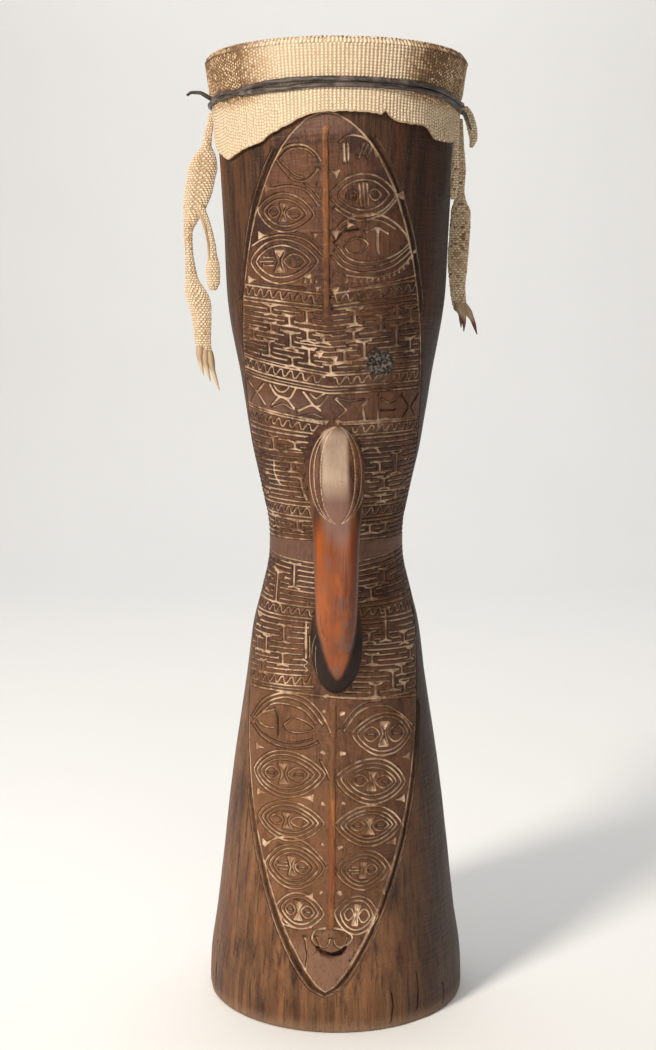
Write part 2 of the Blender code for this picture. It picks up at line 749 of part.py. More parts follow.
class Strip:
    """A flat strip of hide that hangs beside the log."""

    def __init__(self, way, y, drop, length):
        self.way = way
        self.y = y
        self.top = DRUM_HEIGHT - drop
        self.length = length

    def place(self, down, gap):
        """Point of the strip, from shares of its length."""
        height = self.top - down * self.length
        return Vector((self.way * (log_radius(height) + gap * self.length), self.y, height))

    def form(self, marks):
        """Closed form through the strip's marks."""
        bm = bmesh.new()
        rings = []
        for down, gap, width in marks:
            ring = section_ring(bm, self.place(down, gap), Vector((1, 0, 0)), Vector((0, 1, 0)),
                                width * self.length / 2, LEG_THICKNESS / 2, LEG_SIDES, LEG_ROUNDNESS)
            rings.append(ring)
        loft(rings, bm)
        return bm

    def claw(self, marks):
        """A toe at the end of the strip that narrows to a claw."""
        start, tip, width = marks
        start = self.place(*start)
        tip = self.place(*tip)
        along = tip - start
        radius = width * self.length / 2
        bm = bmesh.new()
        bmesh.ops.create_cone(bm, cap_ends=True, segments=CLAW_SIDES, radius1=radius,
                              radius2=radius * CLAW_POINT, depth=along.length)
        turn = Vector((0, 0, 1)).rotation_difference(along).to_matrix().to_4x4()
        bmesh.ops.transform(bm, matrix=Matrix.Translation((start + tip) / 2) @ turn, verts=bm.verts)
        return bm


def vine_path():
    """Centre line of the binding: a tail, one and a half turns round the collar, and a tail."""
    step = 2 * math.pi / SIDES
    count = round(VINE_TURNS * 2 * math.pi / step)
    start_azimuth = -math.pi / 2 + step * 2
    start_height = DRUM_HEIGHT - VINE_DEPTH
    clear = FIT_GAP * 2 + HIDE + VINE_DIAMETER / 2
    points = []
    for i in range(count + 1):
        azimuth = start_azimuth + step * i
        height = start_height - VINE_PITCH * i * step / (2 * math.pi)
        points.append(on_circle(log_radius(height) + clear, azimuth, height))
    return vine_tail(points[0], -1, START_TAIL)[::-1] + points + vine_tail(points[-1], 1, END_TAIL)


def vine_tail(point, way, direction):
    """Run of points from an end of the winding to the tip of its tail."""
    azimuth = math.atan2(point.x, -point.y)
    tangent = Vector((math.cos(azimuth), math.sin(azimuth), 0)) * way
    outward = Vector((math.sin(azimuth), -math.cos(azimuth), 0))
    along, out, up = direction
    reach = (tangent * along + outward * out + Vector((0, 0, up))) * VINE_TAIL
    return [point + reach * (k / TAIL_STEPS) for k in range(1, TAIL_STEPS + 1)]


def build_binding_vine():
    """The dark vine wound round the collar."""
    data = bpy.data.curves.new("binding_vine", "CURVE")
    data.dimensions = "3D"
    data.bevel_depth = VINE_DIAMETER / 2
    data.bevel_resolution = 2
    data.use_fill_caps = True
    path = vine_path()
    spline = data.splines.new("POLY")
    spline.points.add(len(path) - 1)
    for point, place in zip(spline.points, path):
        point.co = (*place, 1.0)
    data.materials.append(make_material("dark_vine", (0.045, 0.035, 0.028), 0.45))
    vine = bpy.data.objects.new("binding_vine", data)
    bpy.context.scene.collection.objects.link(vine)
    return vine


def main():
    for thing in list(bpy.data.objects):
        bpy.data.objects.remove(thing, do_unlink=True)
    build_drum_body()
    build_lizard_skin()
    build_binding_vine()


main()
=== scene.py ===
"""Kundu: a carved hourglass hand drum with a lizard hide head, in its finished looks."""

import math

import bmesh
import bpy
import numpy as np
from bpy.props import FloatProperty, FloatVectorProperty, IntProperty, PointerProperty
from mathutils import Matrix, Vector, noise
from mathutils.geometry import delaunay_2d_cdt, interpolate_bezier


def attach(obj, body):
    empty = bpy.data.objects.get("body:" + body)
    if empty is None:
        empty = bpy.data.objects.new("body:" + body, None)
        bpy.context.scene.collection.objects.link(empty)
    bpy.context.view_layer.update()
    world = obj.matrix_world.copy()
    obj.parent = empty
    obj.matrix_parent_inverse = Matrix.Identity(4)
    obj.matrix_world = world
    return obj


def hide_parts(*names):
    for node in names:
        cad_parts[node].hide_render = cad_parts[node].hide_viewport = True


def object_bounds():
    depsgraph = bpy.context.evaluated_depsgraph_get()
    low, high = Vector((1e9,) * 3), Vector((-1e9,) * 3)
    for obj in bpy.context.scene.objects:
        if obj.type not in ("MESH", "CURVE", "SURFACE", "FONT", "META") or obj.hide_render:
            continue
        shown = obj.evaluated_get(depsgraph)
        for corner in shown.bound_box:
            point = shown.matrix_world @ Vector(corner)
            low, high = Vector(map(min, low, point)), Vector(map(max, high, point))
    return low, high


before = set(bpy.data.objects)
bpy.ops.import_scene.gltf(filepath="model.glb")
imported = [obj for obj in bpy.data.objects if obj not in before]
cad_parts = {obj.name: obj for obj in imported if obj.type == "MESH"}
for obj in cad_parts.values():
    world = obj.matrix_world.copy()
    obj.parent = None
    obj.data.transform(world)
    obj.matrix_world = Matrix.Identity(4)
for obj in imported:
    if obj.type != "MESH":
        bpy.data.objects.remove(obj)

bl_info = {
    "name": "Kundu Drum",
    "version": (1, 0, 0),
    "blender": (4, 5, 0),
    "location": "3D View > Sidebar > Drum",
    "description": "Builds a carved hand drum with a lizard hide head",
    "category": "Object",
}

MM = 0.001
TURN = 2 * math.pi
CAD_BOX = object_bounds()
DRUM_HEIGHT = CAD_BOX[1][2]
HIDE = 1.5 * MM
FIT_GAP = 0.4 * MM
FRONT = math.radians(-5)
SHEET_RADIUS = 65 * MM
GIRTH = TURN * SHEET_RADIUS
ROW = 3.1 * MM
HAIR = 0.001 * MM

# Studio: the floor's bend behind the drum, the camera, and each light's place, aim, size, power and tint
SWEEP_START = 1.6
SWEEP_RADIUS = 1.2
CAMERA_LENS = 51.84
CAMERA_PLACE = (-0.0052, -0.975, 0.428)
CAMERA_DOWN = 7.06
LIGHTS = (
    ("key", (-0.95, -1.05, 1.25), (0, 0, 0.3), 0.34, 33, (1.0, 0.92, 0.82)),
    ("fill", (0.5, -1.9, 0.5), (0, 0, 0.3), 1.0, 7.0, (1.0, 0.95, 0.9)),
    ("sweep", (0.0, 0.9, 2.6), (0, 2.2, 0.6), 2.4, 46, (1.0, 1.0, 1.0)),
)

# Flare of each bell: share of the way from the waist to the rim, share of the growth in radius
UPPER_FLARE = [
    (0.0, 0.0), (0.03, 0.01), (0.114, 0.135), (0.211, 0.302), (0.339, 0.466), (0.53, 0.712),
    (0.657, 0.755), (0.872, 0.8625), (1.0, 1.0),
]
LOWER_FLARE = [
    (0.0, 0.0), (0.03, 0.01), (0.117, 0.144), (0.183, 0.259), (0.283, 0.359), (0.55, 0.644),
    (0.823, 0.871), (0.927, 0.976), (1.0, 1.0),
]

# Carving, in millimetres: distance along the surface from the leaf's midline, and height
LEAF = (26, 558)
LEAF_LOWER_SHAPE = (2.05, 0.74)
LEAF_UPPER_SHAPE = (2.6, 0.55)
MIDLINE = [(0, 3.8), (200, 3.4), (260, 1.5), (440, 0.0), (600, -0.5)]

# Almond eyes: middle, half length, half height, tilt in degrees, how far in each ring lies, signs
EYES = [
    (-26.6, 501.6, 19.4, 11.2, -6, (0, 3.4), "glass"), (-29.0, 473.2, 24, 13, -1, (0, 3.6), "bars"),
    (22.6, 511.4, 20.6, 12.2, 2, (0, 3.4), "strokes"),
    (-28.2, 157.8, 27, 14.2, 4, (0, 2.4, 5.2), "glass"),
    (-25.4, 129.3, 23.6, 12.2, 1, (0, 2.6, 5), "open"),
    (-21.8, 101.5, 20.6, 13.6, 3, (0, 2.5, 5.0), "bars"), (-17.2, 74.6, 15.8, 11, -3, (0, 2.6), "fan"),
    (37.6, 182.4, 22.6, 13, -5, (0, 2.5), "glass"), (29.2, 154.4, 24.4, 13.8, -8, (0, 2.6, 5.4), "glass"),
    (27.5, 127.3, 22.4, 12.4, -4, (0, 2.6, 4.8), "fan"),
    (23.6, 100.4, 18, 12.2, -2, (0, 2.5, 4.8), "bars"), (19.4, 72.8, 14.2, 11.8, -9, (0, 2.6), "open"),
]

# Free lines of the eyes, the crosses and the face: width and lime as shares, then the points
LINES = [
    (1, 1, (-31.8, 533.3), (-25.8, 538.9), (-18.6, 540.4), (-11.7, 539.2), (-6, 535), (-3.4, 531)),
    (0.9, 0.8, (-29, 532.7), (-23.7, 537.2), (-16.6, 538.4), (-10.8, 537), (-7, 533.5)),
    (1, 1, (-31.8, 532.8), (-25.9, 525.7), (-20.8, 520.9), (-14.8, 519.3), (-10, 521), (-6.1, 524.6)),
    (0.9, 0.8, (-29, 532.1), (-23.8, 527.2), (-19.8, 523.6), (-14.6, 521.8)),
    (1, 0.9, (-33.2, 515.9), (-27.1, 517), (-19.8, 516.5), (-13.9, 514.8), (-9.1, 511), (-5.3, 505.9)),
    (0.8, 0.7, (-12.9, 517.6), (-8.1, 514.6), (-4, 509)),
    (1, 0.8, (-51, 483.4), (-41.4, 487), (-28.6, 488.6), (-18.1, 487.2), (-10.2, 483.9), (-2.6, 476.4)),
    (0.8, 0.6, (-19.1, 490), (-11.2, 487.6), (-4.5, 481.4)),
    (0.9, 0.5, (-54, 462), (-40, 459.6), (-28, 458.8), (-14, 457.4)),
    (1, 1, (8.4, 541.5), (12.7, 545), (18.3, 545.2), (24, 543), (28, 539.3), (30, 533.5)),
    (1.2, 1, (10.3, 540.3), (10.5, 532)), (1.2, 0.9, (12.9, 539.6), (12.9, 532)),
    (0.8, 0.9, (22.1, 534.5), (25, 540.1)), (0.8, 0.9, (24.5, 533.6), (27.4, 538.4)),
    (0.8, 0.9, (19.6, 533.6), (22.4, 540.2)),
    (0.9, 0.9, (5.1, 503.6), (12.6, 498.6), (20.1, 497), (28, 498), (36.1, 501.8), (44, 509.4)),
    (1, 1, (5, 490.5), (9.5, 495.2), (16.4, 498.9), (25, 500.6), (33, 500), (41.4, 496.6),
     (49.4, 490.6), (54, 484)),
    (0.9, 0.7, (7.4, 489.4), (14, 494.6), (25, 497.2), (34, 496.4), (43, 492.4)),
    (1, 0.9, (7.8, 480.4), (11.6, 475.6), (18.2, 472.8), (28, 472.5), (38.4, 475), (47.4, 479.3),
     (53.4, 484)),
    (0.9, 0.8, (5.4, 478.4), (10.6, 472.6), (20.2, 469.6), (30.1, 470.2), (40.6, 473.2), (49, 478.4),
     (54, 482)),
    (0.9, 0.9, (3.4, 475.5), (9.4, 469.6), (18, 466.6), (30.1, 467), (41, 470.2), (50, 475.6),
     (54.6, 479.4)),
    (1, 1, (13, 464.6), (24, 463.6), (33, 464), (43.4, 467.2), (51.1, 472.4), (55.6, 477)),
    (0.9, 0.8, (10.6, 481), (15.4, 485.6), (21.1, 486), (25, 482.6), (20.2, 478), (14.4, 477.4),
     (10.6, 481)), (0.8, 0.5, (5, 484), (10, 490), (19, 491.4)),
    (1.3, 1, (31, 490.4), (30.8, 484.6), (31.4, 478)), (0.8, 0.9, (24.6, 490.4), (29, 491.8)),
    (0.8, 0.9, (33, 491.8), (37.4, 489.6)),
    (0.9, 1, (13.4, 456.6), (32.1, 459.4), (45.2, 462), (60.5, 465.4)),
    (1, 1, (-60.7, 188.5), (-48.8, 200), (-31.9, 207), (-18.1, 206.5), (-9.7, 202), (-2.9, 194.3),
     (1.8, 185.4)),
    (1, 0.9, (-58.5, 187.5), (-47.5, 197.6), (-31.8, 204.4), (-19.5, 203.8), (-11, 199), (-4.2, 190.9)),
    (0.9, 0.9, (-56.3, 187.5), (-46.2, 194.6), (-38.6, 199.6), (-25.3, 200.6), (-15.1, 197.5),
     (-8.5, 191)),
    (1, 0.6, (-60, 183.4), (-49.5, 178.4), (-37.7, 174.9), (-24.8, 174.2), (-14.8, 175.3), (-7, 178.6)),
    (0.9, 0.6, (-55.8, 184), (-45.3, 180), (-32.7, 177.6), (-21.9, 177.5), (-10.1, 180.7)),
    (0.9, 1, (-38.5, 195.9), (-48.2, 192.3), (-54.4, 187.2), (-45.7, 184.4), (-38.1, 184.9)),
    (0.8, 0.8, (-29.7, 188.1), (-22.9, 192.8), (-15, 191.4), (-8.5, 186.9), (-17.7, 184.4),
     (-26.5, 184.6), (-29.7, 188.1)), (1.2, 0.4, (-37, 196.4), (-34.2, 191.4), (-33.7, 182)),
    (1, 1, (-43.5, 110.4), (-36, 116.4), (-25.3, 119.4), (-15.3, 118), (-7.2, 112.6), (-0.5, 105.2)),
    (0.9, 0.8, (-3.8, 167), (-0.4, 161.6), (1.6, 157)),
    (1, 0.9, (10.3, 186.5), (16.8, 195), (24.9, 199.8), (38.1, 199.6), (48.2, 194.4), (60.9, 185)),
    (0.9, 0.7, (8, 188.5), (15.6, 198), (24, 203), (34, 203.6)),
    (0.9, 0.8, (-27.5, 64.6), (-18.9, 63.4), (-9.4, 65)),
    (1, 0.9, (-0.1, 65.2), (-6.7, 63.4), (-8.6, 58.3), (-6.2, 54.6), (-2.6, 53.6)),
    (1, 0.9, (5.1, 65.3), (11.6, 63.8), (16.8, 59.2), (13.6, 54.8), (9.8, 53.8)),
    (0.8, 0.9, (-12.7, 56.6), (-11.2, 48.9), (-12.4, 38.6)), (0.8, 0.6, (18.3, 49.4), (15.7, 45.7)),
    (1.1, 0.9, (-62.9, 400.4), (-53.7, 394.6), (-45.7, 387.6)),
    (1.1, 0.9, (-45.9, 400), (-53.7, 394.6), (-62.6, 388.9)),
    (1.2, 1, (-40.3, 399.4), (-35.5, 393.6), (-27.3, 390.8), (-22.7, 385.7)),
    (1.1, 1, (-20.3, 398.3), (-25.5, 391.2), (-31.8, 392.2), (-38.9, 387.5)),
    (1.2, 1, (-15.6, 395.4), (-9.5, 387.4), (-5.1, 384.5)),
    (1.1, 0.9, (-0.5, 392.6), (-5.8, 386.7), (-11.1, 387.3), (-18.2, 384.3)),
    (0.9, 0.9, (-36.7, 399.1), (-34.4, 396.2), (-30.7, 395.2), (-27.1, 396.4), (-25.3, 398.9)),
    (0.9, 0.9, (-11.7, 394.7), (-7.9, 391.1), (-2.7, 394.4)),
    (0.9, 0.6, (-38, 386), (-30.1, 388.1), (-24, 384.9)),
    (0.8, 0.6, (-17, 380.6), (-10, 382.4), (-4, 380)), (0.9, 0.6, (5.4, 391.9), (12.7, 389.8), (21, 391)),
    (1.1, 0.8, (4.6, 391.1), (11.2, 384.5), (4.5, 378.6)),
    (1.1, 1, (24.1, 389.9), (20.9, 386.6), (22.4, 377.7)), (1.1, 0.8, (31.3, 392.4), (31.8, 373.8)),
    (0.9, 0.9, (34.7, 390.8), (39.1, 388.2), (44.7, 390.6)), (0.8, 0.5, (34.7, 384.1), (42.9, 383.9)),
    (0.9, 0.6, (33, 378.2), (38.3, 379.4), (44.1, 376.7)),
    (0.9, 0.4, (50, 392), (56, 385.5), (48.8, 377.5)), (0.9, 0.4, (66, 393), (58, 385.5), (66, 378)),
    (1.1, 0.9, (-40.4, 352.4), (-40.7, 344.3), (-38.7, 340.6), (-36.1, 337.6)),
    (1.3, 1, (-25.6, 342.6), (-19.4, 341.7), (-18, 334.8), (-15.6, 328.5)),
    (1.2, 1, (19.2, 351.5), (19.2, 357.2), (21.6, 359.8), (24.8, 360.9), (30.5, 360.7), (32.3, 357.6)),
    (1.1, 0.9, (-48.9, 282.8), (-43.5, 282.8), (-40.6, 279.6)),
    (1.2, 1, (47.6, 292.1), (51.7, 281.8), (44, 279)), (1.3, 1, (-15.2, 252.5), (-14.8, 230.3)),
    (0.8, 0.8, (-12.6, 243), (-12.4, 231)),
    (0.8, 0.8, (-17, 229.6), (-13.4, 227.4), (-16.6, 225.4), (-13.2, 223), (-16.4, 221)),
    (1, 1, (-67, 206.4), (-26.3, 208.4), (-2, 207.4), (28.8, 205), (37.4, 204.6), (66, 201.6)),
]

# Carved bands from the top down: kind, upper and lower edge at the midline
BANDS = [
    ("teeth", 453.5, 446.4), ("keys", 445.5, 405.5), ("teeth", 405.4, 398.6), ("plain", 394.6, 377),
    ("teeth", 375.6, 369), ("keys", 368, 324.5), ("teeth", 323.4, 316.6), ("keys", 315.5, 304.5),
    ("plain", 303, 287.4), ("keys", 286, 262), ("teeth", 261, 254.4), ("keys", 253.6, 222),
    ("teeth", 220.4, 213.6, -1), ("keys", 221.5, 205.5, 1),
]

# How much higher a band runs at the leaf's border than at its midline: height, left, right
CLIMBS = [
    (205, -2, -3), (222, -4, -4), (250, 0, -2), (262, 2, 3), (287, 6, 8), (303, 0, 1), (320, 3, 2),
    (350, 2, 2), (368, 7, 2), (377, 11, 2), (395, 12, 3), (406, 12, 4), (425, 10, 6), (446, 8, 9),
    (456, 8, 11),
]

# Upright strokes of the key bands: place, upper end, lower end
STEMS = [
    (-37.2, 447.4, 442), (-37.6, 437.3, 431.6), (-39.4, 426.4, 417.2), (-24, 441.5, 435.2),
    (-23.5, 430.9, 421.6), (-22.7, 416.6, 410.9), (-12.6, 444.2, 436.8), (-12.4, 432.4, 426),
    (-11.6, 421.9, 412.5), (-53, 434, 427), (-2.6, 430, 425), (1.4, 412, 406), (16.6, 444.5, 435.4),
    (15.8, 432, 426), (22.3, 425.7, 415.5), (33.3, 441.7, 432.2), (45, 447.6, 440), (44.4, 435, 423),
    (55.8, 445.9, 438), (56, 428, 419.6), (10, 421, 413), (-39.6, 367.7, 359), (-22.5, 364.4, 360),
    (-54, 360, 353), (-52, 344, 334), (-26, 352, 346), (-56, 330, 326), (47.1, 356.8, 344.3),
    (36.8, 341.5, 335), (21, 339.7, 331), (57, 340, 333), (34, 331, 326), (48, 333, 328), (33, 352, 345),
    (-44.6, 316.4, 309), (-32.4, 318, 313.5), (-22.8, 314.3, 308), (38.8, 313, 307.6), (26, 312, 307),
    (-40.2, 280.6, 262), (-25, 287, 272.6), (-54, 277, 268), (37.6, 283.6, 274.4), (27, 273, 266),
    (-47.3, 259, 246.7), (-31.4, 249, 238.6), (-47.5, 240.4, 230.3), (-31.9, 231.8, 224.3),
    (-50.6, 225, 217), (-60, 238, 230), (-62, 251, 245), (38.2, 259, 239.6), (53, 258.3, 249),
    (55.2, 242.9, 235.9), (51.8, 222.8, 217), (43.7, 220.3, 208.7), (30.4, 213.6, 205.8),
    (54.5, 211.9, 204.8), (62, 232, 225), (26, 246, 240), (28, 232, 226),
]

# Key bands: distance between rungs, and half the bar at each end of a stroke
RUNG_PITCH = 3.1
SERIF = 4.4

# Lens shaped root above the grip, and the pod below it: lowest and highest point, half width
LENSES = [(316, 377, 18), (206, 262, 17)]
LENS_CLEARANCE = 0.8

# The loop handle: heights of its ends, and its width along the way as a share of the grip's
HANDLE_ENDS = (368, 226)
HANDLE_TAPER = [(0.0, 0.8), (0.1, 1.15), (0.2, 1.28), (0.3, 1.22), (0.45, 1.04), (0.6, 1.0),
                (0.75, 0.94), (0.85, 0.78), (1.0, 0.42)]

# Pods at the handle's ends: height of the end, way towards the middle, half width, depth and height
PODS = [(368, -1, 17.5, 12, 37), (217, 1, 16.5, 12, 33)]

# Lines round the root and the pod: middle height and reach, then the half widths
ROOT_LENS = (346, 29)
ROOT_LINES = (17.4, 14.6, 10.6)
POD_LENS = (232, 26)
POD_LINES = (15.6, 13.4)

# Ragged lower edge of the hide: azimuth in degrees, depth below the top of the drum
HIDE_EDGE = [
    (-180, 52), (-165, 47), (-150, 46), (-135, 53), (-120, 59), (-105, 52), (-90, 48), (-80, 53),
    (-70, 60), (-64, 63.5), (-60, 64.5), (-56, 63.2), (-48, 60.5), (-37, 57.5), (-29, 52), (-22, 48.6),
    (-17, 45.4), (-12, 43.4), (-6, 42.2), (1, 41.8), (10, 41.9), (17, 42.6), (19.5, 43.2), (21.5, 40.9),
    (23.5, 43.4), (27, 46), (30, 46.9), (37, 47.2), (44, 47.6), (47, 50.2), (50.5, 53.8), (56, 55),
    (62, 54.6), (68, 53), (73, 51), (80, 47), (90, 49), (100, 54), (112, 58), (122, 57), (135, 50),
    (150, 48), (165, 50), (180, 52),
]

# Hanging legs and shreds: height, distance from the axis along X, width, in millimetres
LEFT_LEG = [
    (568, 78.0, 4), (556, 80.4, 4.5), (549, 81.6, 5.5), (541, 83, 14), (532, 84.6, 18), (522, 86.8, 17.7),
    (510, 89.4, 14), (502, 92, 9), (494, 94.0, 5.2), (484, 93.6, 4.8), (466, 92.0, 7.5),
    (455, 88.8, 14.4), (448, 86.8, 13.5), (437, 85.7, 11.4), (424, 85.2, 9.8), (417, 83.6, 9),
    (413, 82.8, 6.5),
]
RIGHT_LEG = [
    (566, 78.2, 4.4), (550, 78.8, 5), (534, 79.6, 6), (521, 79.4, 5), (514, 79.4, 8), (508, 79.8, 12.5),
    (497, 79.4, 12.8), (474, 78.2, 12.5), (463, 78.2, 9.9), (451, 79.3, 8.8), (445, 80.4, 7.4),
]
LEFT_FLAP = [
    (512, 86.5, 5), (497, 80.7, 3.2), (483, 78.4, 4.4), (471, 78.4, 8.4), (463, 78.2, 8),
    (458, 78.2, 3.5),
]
RIGHT_STRIP = [
    (560, 74.2, 2.6), (547, 73.6, 3.2), (529, 73.2, 4.8), (519, 72.8, 4.2), (513, 72.4, 3.2),
]
RIGHT_SCRAP = [(571, 79.5, 4.5), (565, 82.5, 6.5), (558, 84.6, 6), (551, 85.6, 4.4), (546, 84.4, 2.2)]
STRIP_THICKNESS = 1.9
LEG_GRAINS = 20
CLAW_RINGS = 16
CLAW_SIDES = 8

# Each strip with its side and its depth along Y
STRIPS = (
    (LEFT_LEG, -1, 0), (RIGHT_LEG, 1, 10), (LEFT_FLAP, -1, -1.2), (RIGHT_STRIP, 1, -22), (RIGHT_SCRAP, 1, -9),
)
# Claws: height and distance along X of the root and of the tip, then the width
LEFT_CLAWS = [
    ((422, 87), (404, 85), 4.6), ((420, 84), (400, 80.5), 4.6), ((419, 81.2), (394.5, 74.8), 4.4),
]
RIGHT_CLAWS = [
    ((450, 78), (434.5, 80.6), 4.4), ((448, 80.5), (432, 82.4), 4.2), ((449, 82.3), (430, 91), 4.4),
]

# Height of the two passes of the vine in front: azimuth in degrees, height in millimetres
VINE_PATH = [
    (-76, 573.8), (-68, 573.0), (-60, 571.4), (-50, 572.6), (-40, 574.6), (-20, 576.0), (0, 576.2),
    (25, 576.0), (45, 574.8), (58, 572.8), (72, 570.6), (90, 572), (120, 575), (180, 574), (240, 573),
    (280, 571.5), (292, 572.4), (300, 574.0), (308, 573.2), (318, 571.4), (335, 571.6), (350, 572.8),
    (365, 573.0), (385, 572.8), (405, 571.8), (420, 569.4), (432, 567.2), (437, 566.2),
]
VINE_RANGE = (-76, 437, 1.6)

# Tails: place along X on the left, or beyond the winding's end on the right, then depth and height
VINE_LEFT_TAIL = ((-91.3, -6, 575.2), (-88.4, -4, 577.2), (-84, -2.6, 577.2), (-80.4, -1.4, 575.6))
VINE_RIGHT_TAIL = ((2.6, -0.5, 564.4), (4.4, 0, 560.5), (6.6, 0.5, 555.5))

# Where the vine presses into the hide: height, half width and depth
VINE_DENT = (573.5, 3.2, 0.7)

# Rough patch struck out of the upper keys: middle, half width and half height, and its finer points
PIT = (33.6, 412.5, 10, 9.5)
PIT_POINTS = ((22, 45, 1.1), (402, 423, 1.1))

# The snout's middle, half width, half height and rise, and drying cracks in the foot: place, ends
SNOUT = (4, 57, 9, 8, 3.2)
FOOT_CRACKS = ((62, 8, 30), (43, 6, 22), (88, 5, 16), (-96, 6, 34))

# Lime chips beside the midribs: place and size, then those at the eyes' corners: place, way, reach
RIB_CHIPS = (
    (-6.6, 488, 3.6), (4.6, 488.5, 5.4), (5.2, 523.5, 4.6), (-5.5, 457, 4), (4.4, 455.5, 4.8),
    (-2.5, 427, 3), (-4.4, 418, 4), (4, 415, 3.4), (-2.6, 198.2, 3.2), (8.6, 197, 3.6), (-3, 173, 3.4),
    (9.4, 172.6, 3.6), (-2.6, 141.6, 3), (10, 142.2, 3.4), (-2.6, 116.8, 3.2), (8.6, 115.3, 3.6),
    (-3.4, 87.4, 2.8), (8.4, 87, 3.6), (-1.5, 207.6, 3.6), (5, 377.4, 3.6), (-1.5, 377, 3.2),
)
EYE_CHIPS = (
    (-46, 489, 1, 9), (-40, 516, 1, 7), (-56, 463, 1, 8), (49, 512, -1, 8), (-54, 171, 1, 9),
    (-51, 143.5, 1, 8), (-45, 113, 1, 7), (58, 166, -1, 8), (53, 141, -1, 8), (46, 115.5, -1, 8),
    (38.5, 86, -1, 7), (-8, 145, -1, 9), (-8, 84, -1, 6), (12, 494, 1, 6), (-9, 464, -1, 6),
)
LASH_ROW = [
    (9, 461), (18, 461.2), (24.6, 461.4), (32.1, 462.4), (39.5, 464.8), (46.3, 468.4), (53.6, 475), (58, 482),
]


def eased(points, share):
    """Smooth curve through points that never overshoots them, at many places at once."""
    xs = np.array([point[0] for point in points], float)
    ys = np.array([point[1] for point in points], float)
    slopes = np.diff(ys) / np.diff(xs)
    turns = np.zeros(len(xs))
    turns[0] = slopes[0]
    turns[-1] = slopes[-1]
    before = slopes[:-1]
    after = slopes[1:]
    same = before * after > 0
    turns[1:-1] = np.where(same, 2 * before * after / np.where(same, before + after, 1), 0)
    share = np.clip(np.asarray(share, float), xs[0], xs[-1])
    i = np.clip(np.searchsorted(xs, share, side="right") - 1, 0, len(slopes) - 1)
    span = xs[i + 1] - xs[i]
    t = (share - xs[i]) / span
    start = (2 * t ** 3 - 3 * t ** 2 + 1) * ys[i] + (t ** 3 - 2 * t ** 2 + t) * span * turns[i]
    end = (3 * t ** 2 - 2 * t ** 3) * ys[i + 1] + (t ** 3 - t ** 2) * span * turns[i + 1]
    return start + end


def ripple(places, seed=0.0):
    """Smooth noise between -1 and 1 at places of x, y or x, y, z."""
    places = np.asarray(places, float)
    flat = places.reshape(-1, places.shape[-1])
    depth = flat[:, 2] + seed if places.shape[-1] == 3 else np.full(len(flat), seed)
    found = [noise.noise(Vector((x, y, z))) for (x, y), z in zip(flat[:, :2], depth)]
    return np.reshape(found, places.shape[:-1])


def noise_at(a, b, seed):
    """Smooth noise at one place."""
    return noise.noise(Vector((a, b, seed)))


def round_ripple(azimuth, scale, seed, height=None):
    """Smooth noise that closes round the drum, the same at every height unless one is given."""
    spots = [np.sin(azimuth) * scale, np.cos(azimuth) * scale]
    if height is not None:
        spots.append(azimuth * 0 + height)
    return ripple(np.stack(spots, axis=-1), seed)


def around(radius, azimuth, height):
    """Places at an azimuth counted from the front, positive to the right."""
    return np.stack([radius * np.sin(azimuth), -radius * np.cos(azimuth),
                     height + np.zeros(np.shape(azimuth))], axis=-1)


class LogShape:
    """Outside and inside of the turned log."""

    def __init__(self, sizes):
        self.top = sizes.drum_height - HIDE - FIT_GAP
        self.skin = (2 * MM, self.top - 2 * MM)
        self.waist_height = sizes.waist_height
        self.waist_radius = sizes.waist_radius
        self.head_radius = sizes.head_radius
        self.base_radius = sizes.base_radius
        self.walls = (sizes.base_wall, sizes.waist_wall, sizes.head_wall)

    def share(self, height):
        """Way from the waist to the head, or to the base."""
        up = (height - self.waist_height) / (self.top - self.waist_height)
        return np.where(height >= self.waist_height, up, (self.waist_height - height) / self.waist_height)

    def radius(self, height):
        """Outer radius before any carving."""
        height = np.asarray(height, float)
        share = self.share(height)
        up = (self.head_radius - self.waist_radius) * eased(UPPER_FLARE, share)
        down = (self.base_radius - self.waist_radius) * eased(LOWER_FLARE, share)
        return self.waist_radius + np.where(height >= self.waist_height, up, down)

    def bore(self, height):
        """Radius of the hollow."""
        height = np.asarray(height, float)
        base, waist, head = self.walls
        end = np.where(height >= self.waist_height, head, base)
        return self.radius(height) - (waist + (end - waist) * self.share(height))


def leaf_half_width(height, widest):
    """Half width of the carved leaf along the surface."""
    foot, top = (end * MM for end in LEAF)
    middle = (foot + top) / 2
    share = np.clip(np.abs(height - middle) / (top - middle), 0, 1)
    upper = (1 - share ** LEAF_UPPER_SHAPE[0]) ** LEAF_UPPER_SHAPE[1]
    lower = (1 - share ** LEAF_LOWER_SHAPE[0]) ** LEAF_LOWER_SHAPE[1]
    return widest * np.where(height > middle, upper, lower)


def midline(height):
    """Place of the midrib, which wanders a little to the right lower down."""
    return eased([(h * MM, across * MM) for h, across in MIDLINE], height)


def resampled(points, step, closed=False):
    """Even points along a run of points."""
    points = np.asarray(points, float)
    if closed:
        points = np.vstack([points, points[:1]])
    lengths = np.hypot(*np.diff(points, axis=0).T)
    total = lengths.sum()
    count = max(int(round(total / step)), 3 if closed else 1)
    marks = np.linspace(0, total, count + 1)
    along = np.concatenate([[0], np.cumsum(lengths)])
    even = np.stack([np.interp(marks, along, points[:, 0]), np.interp(marks, along, points[:, 1])], axis=1)
    return even[:-1] if closed else even


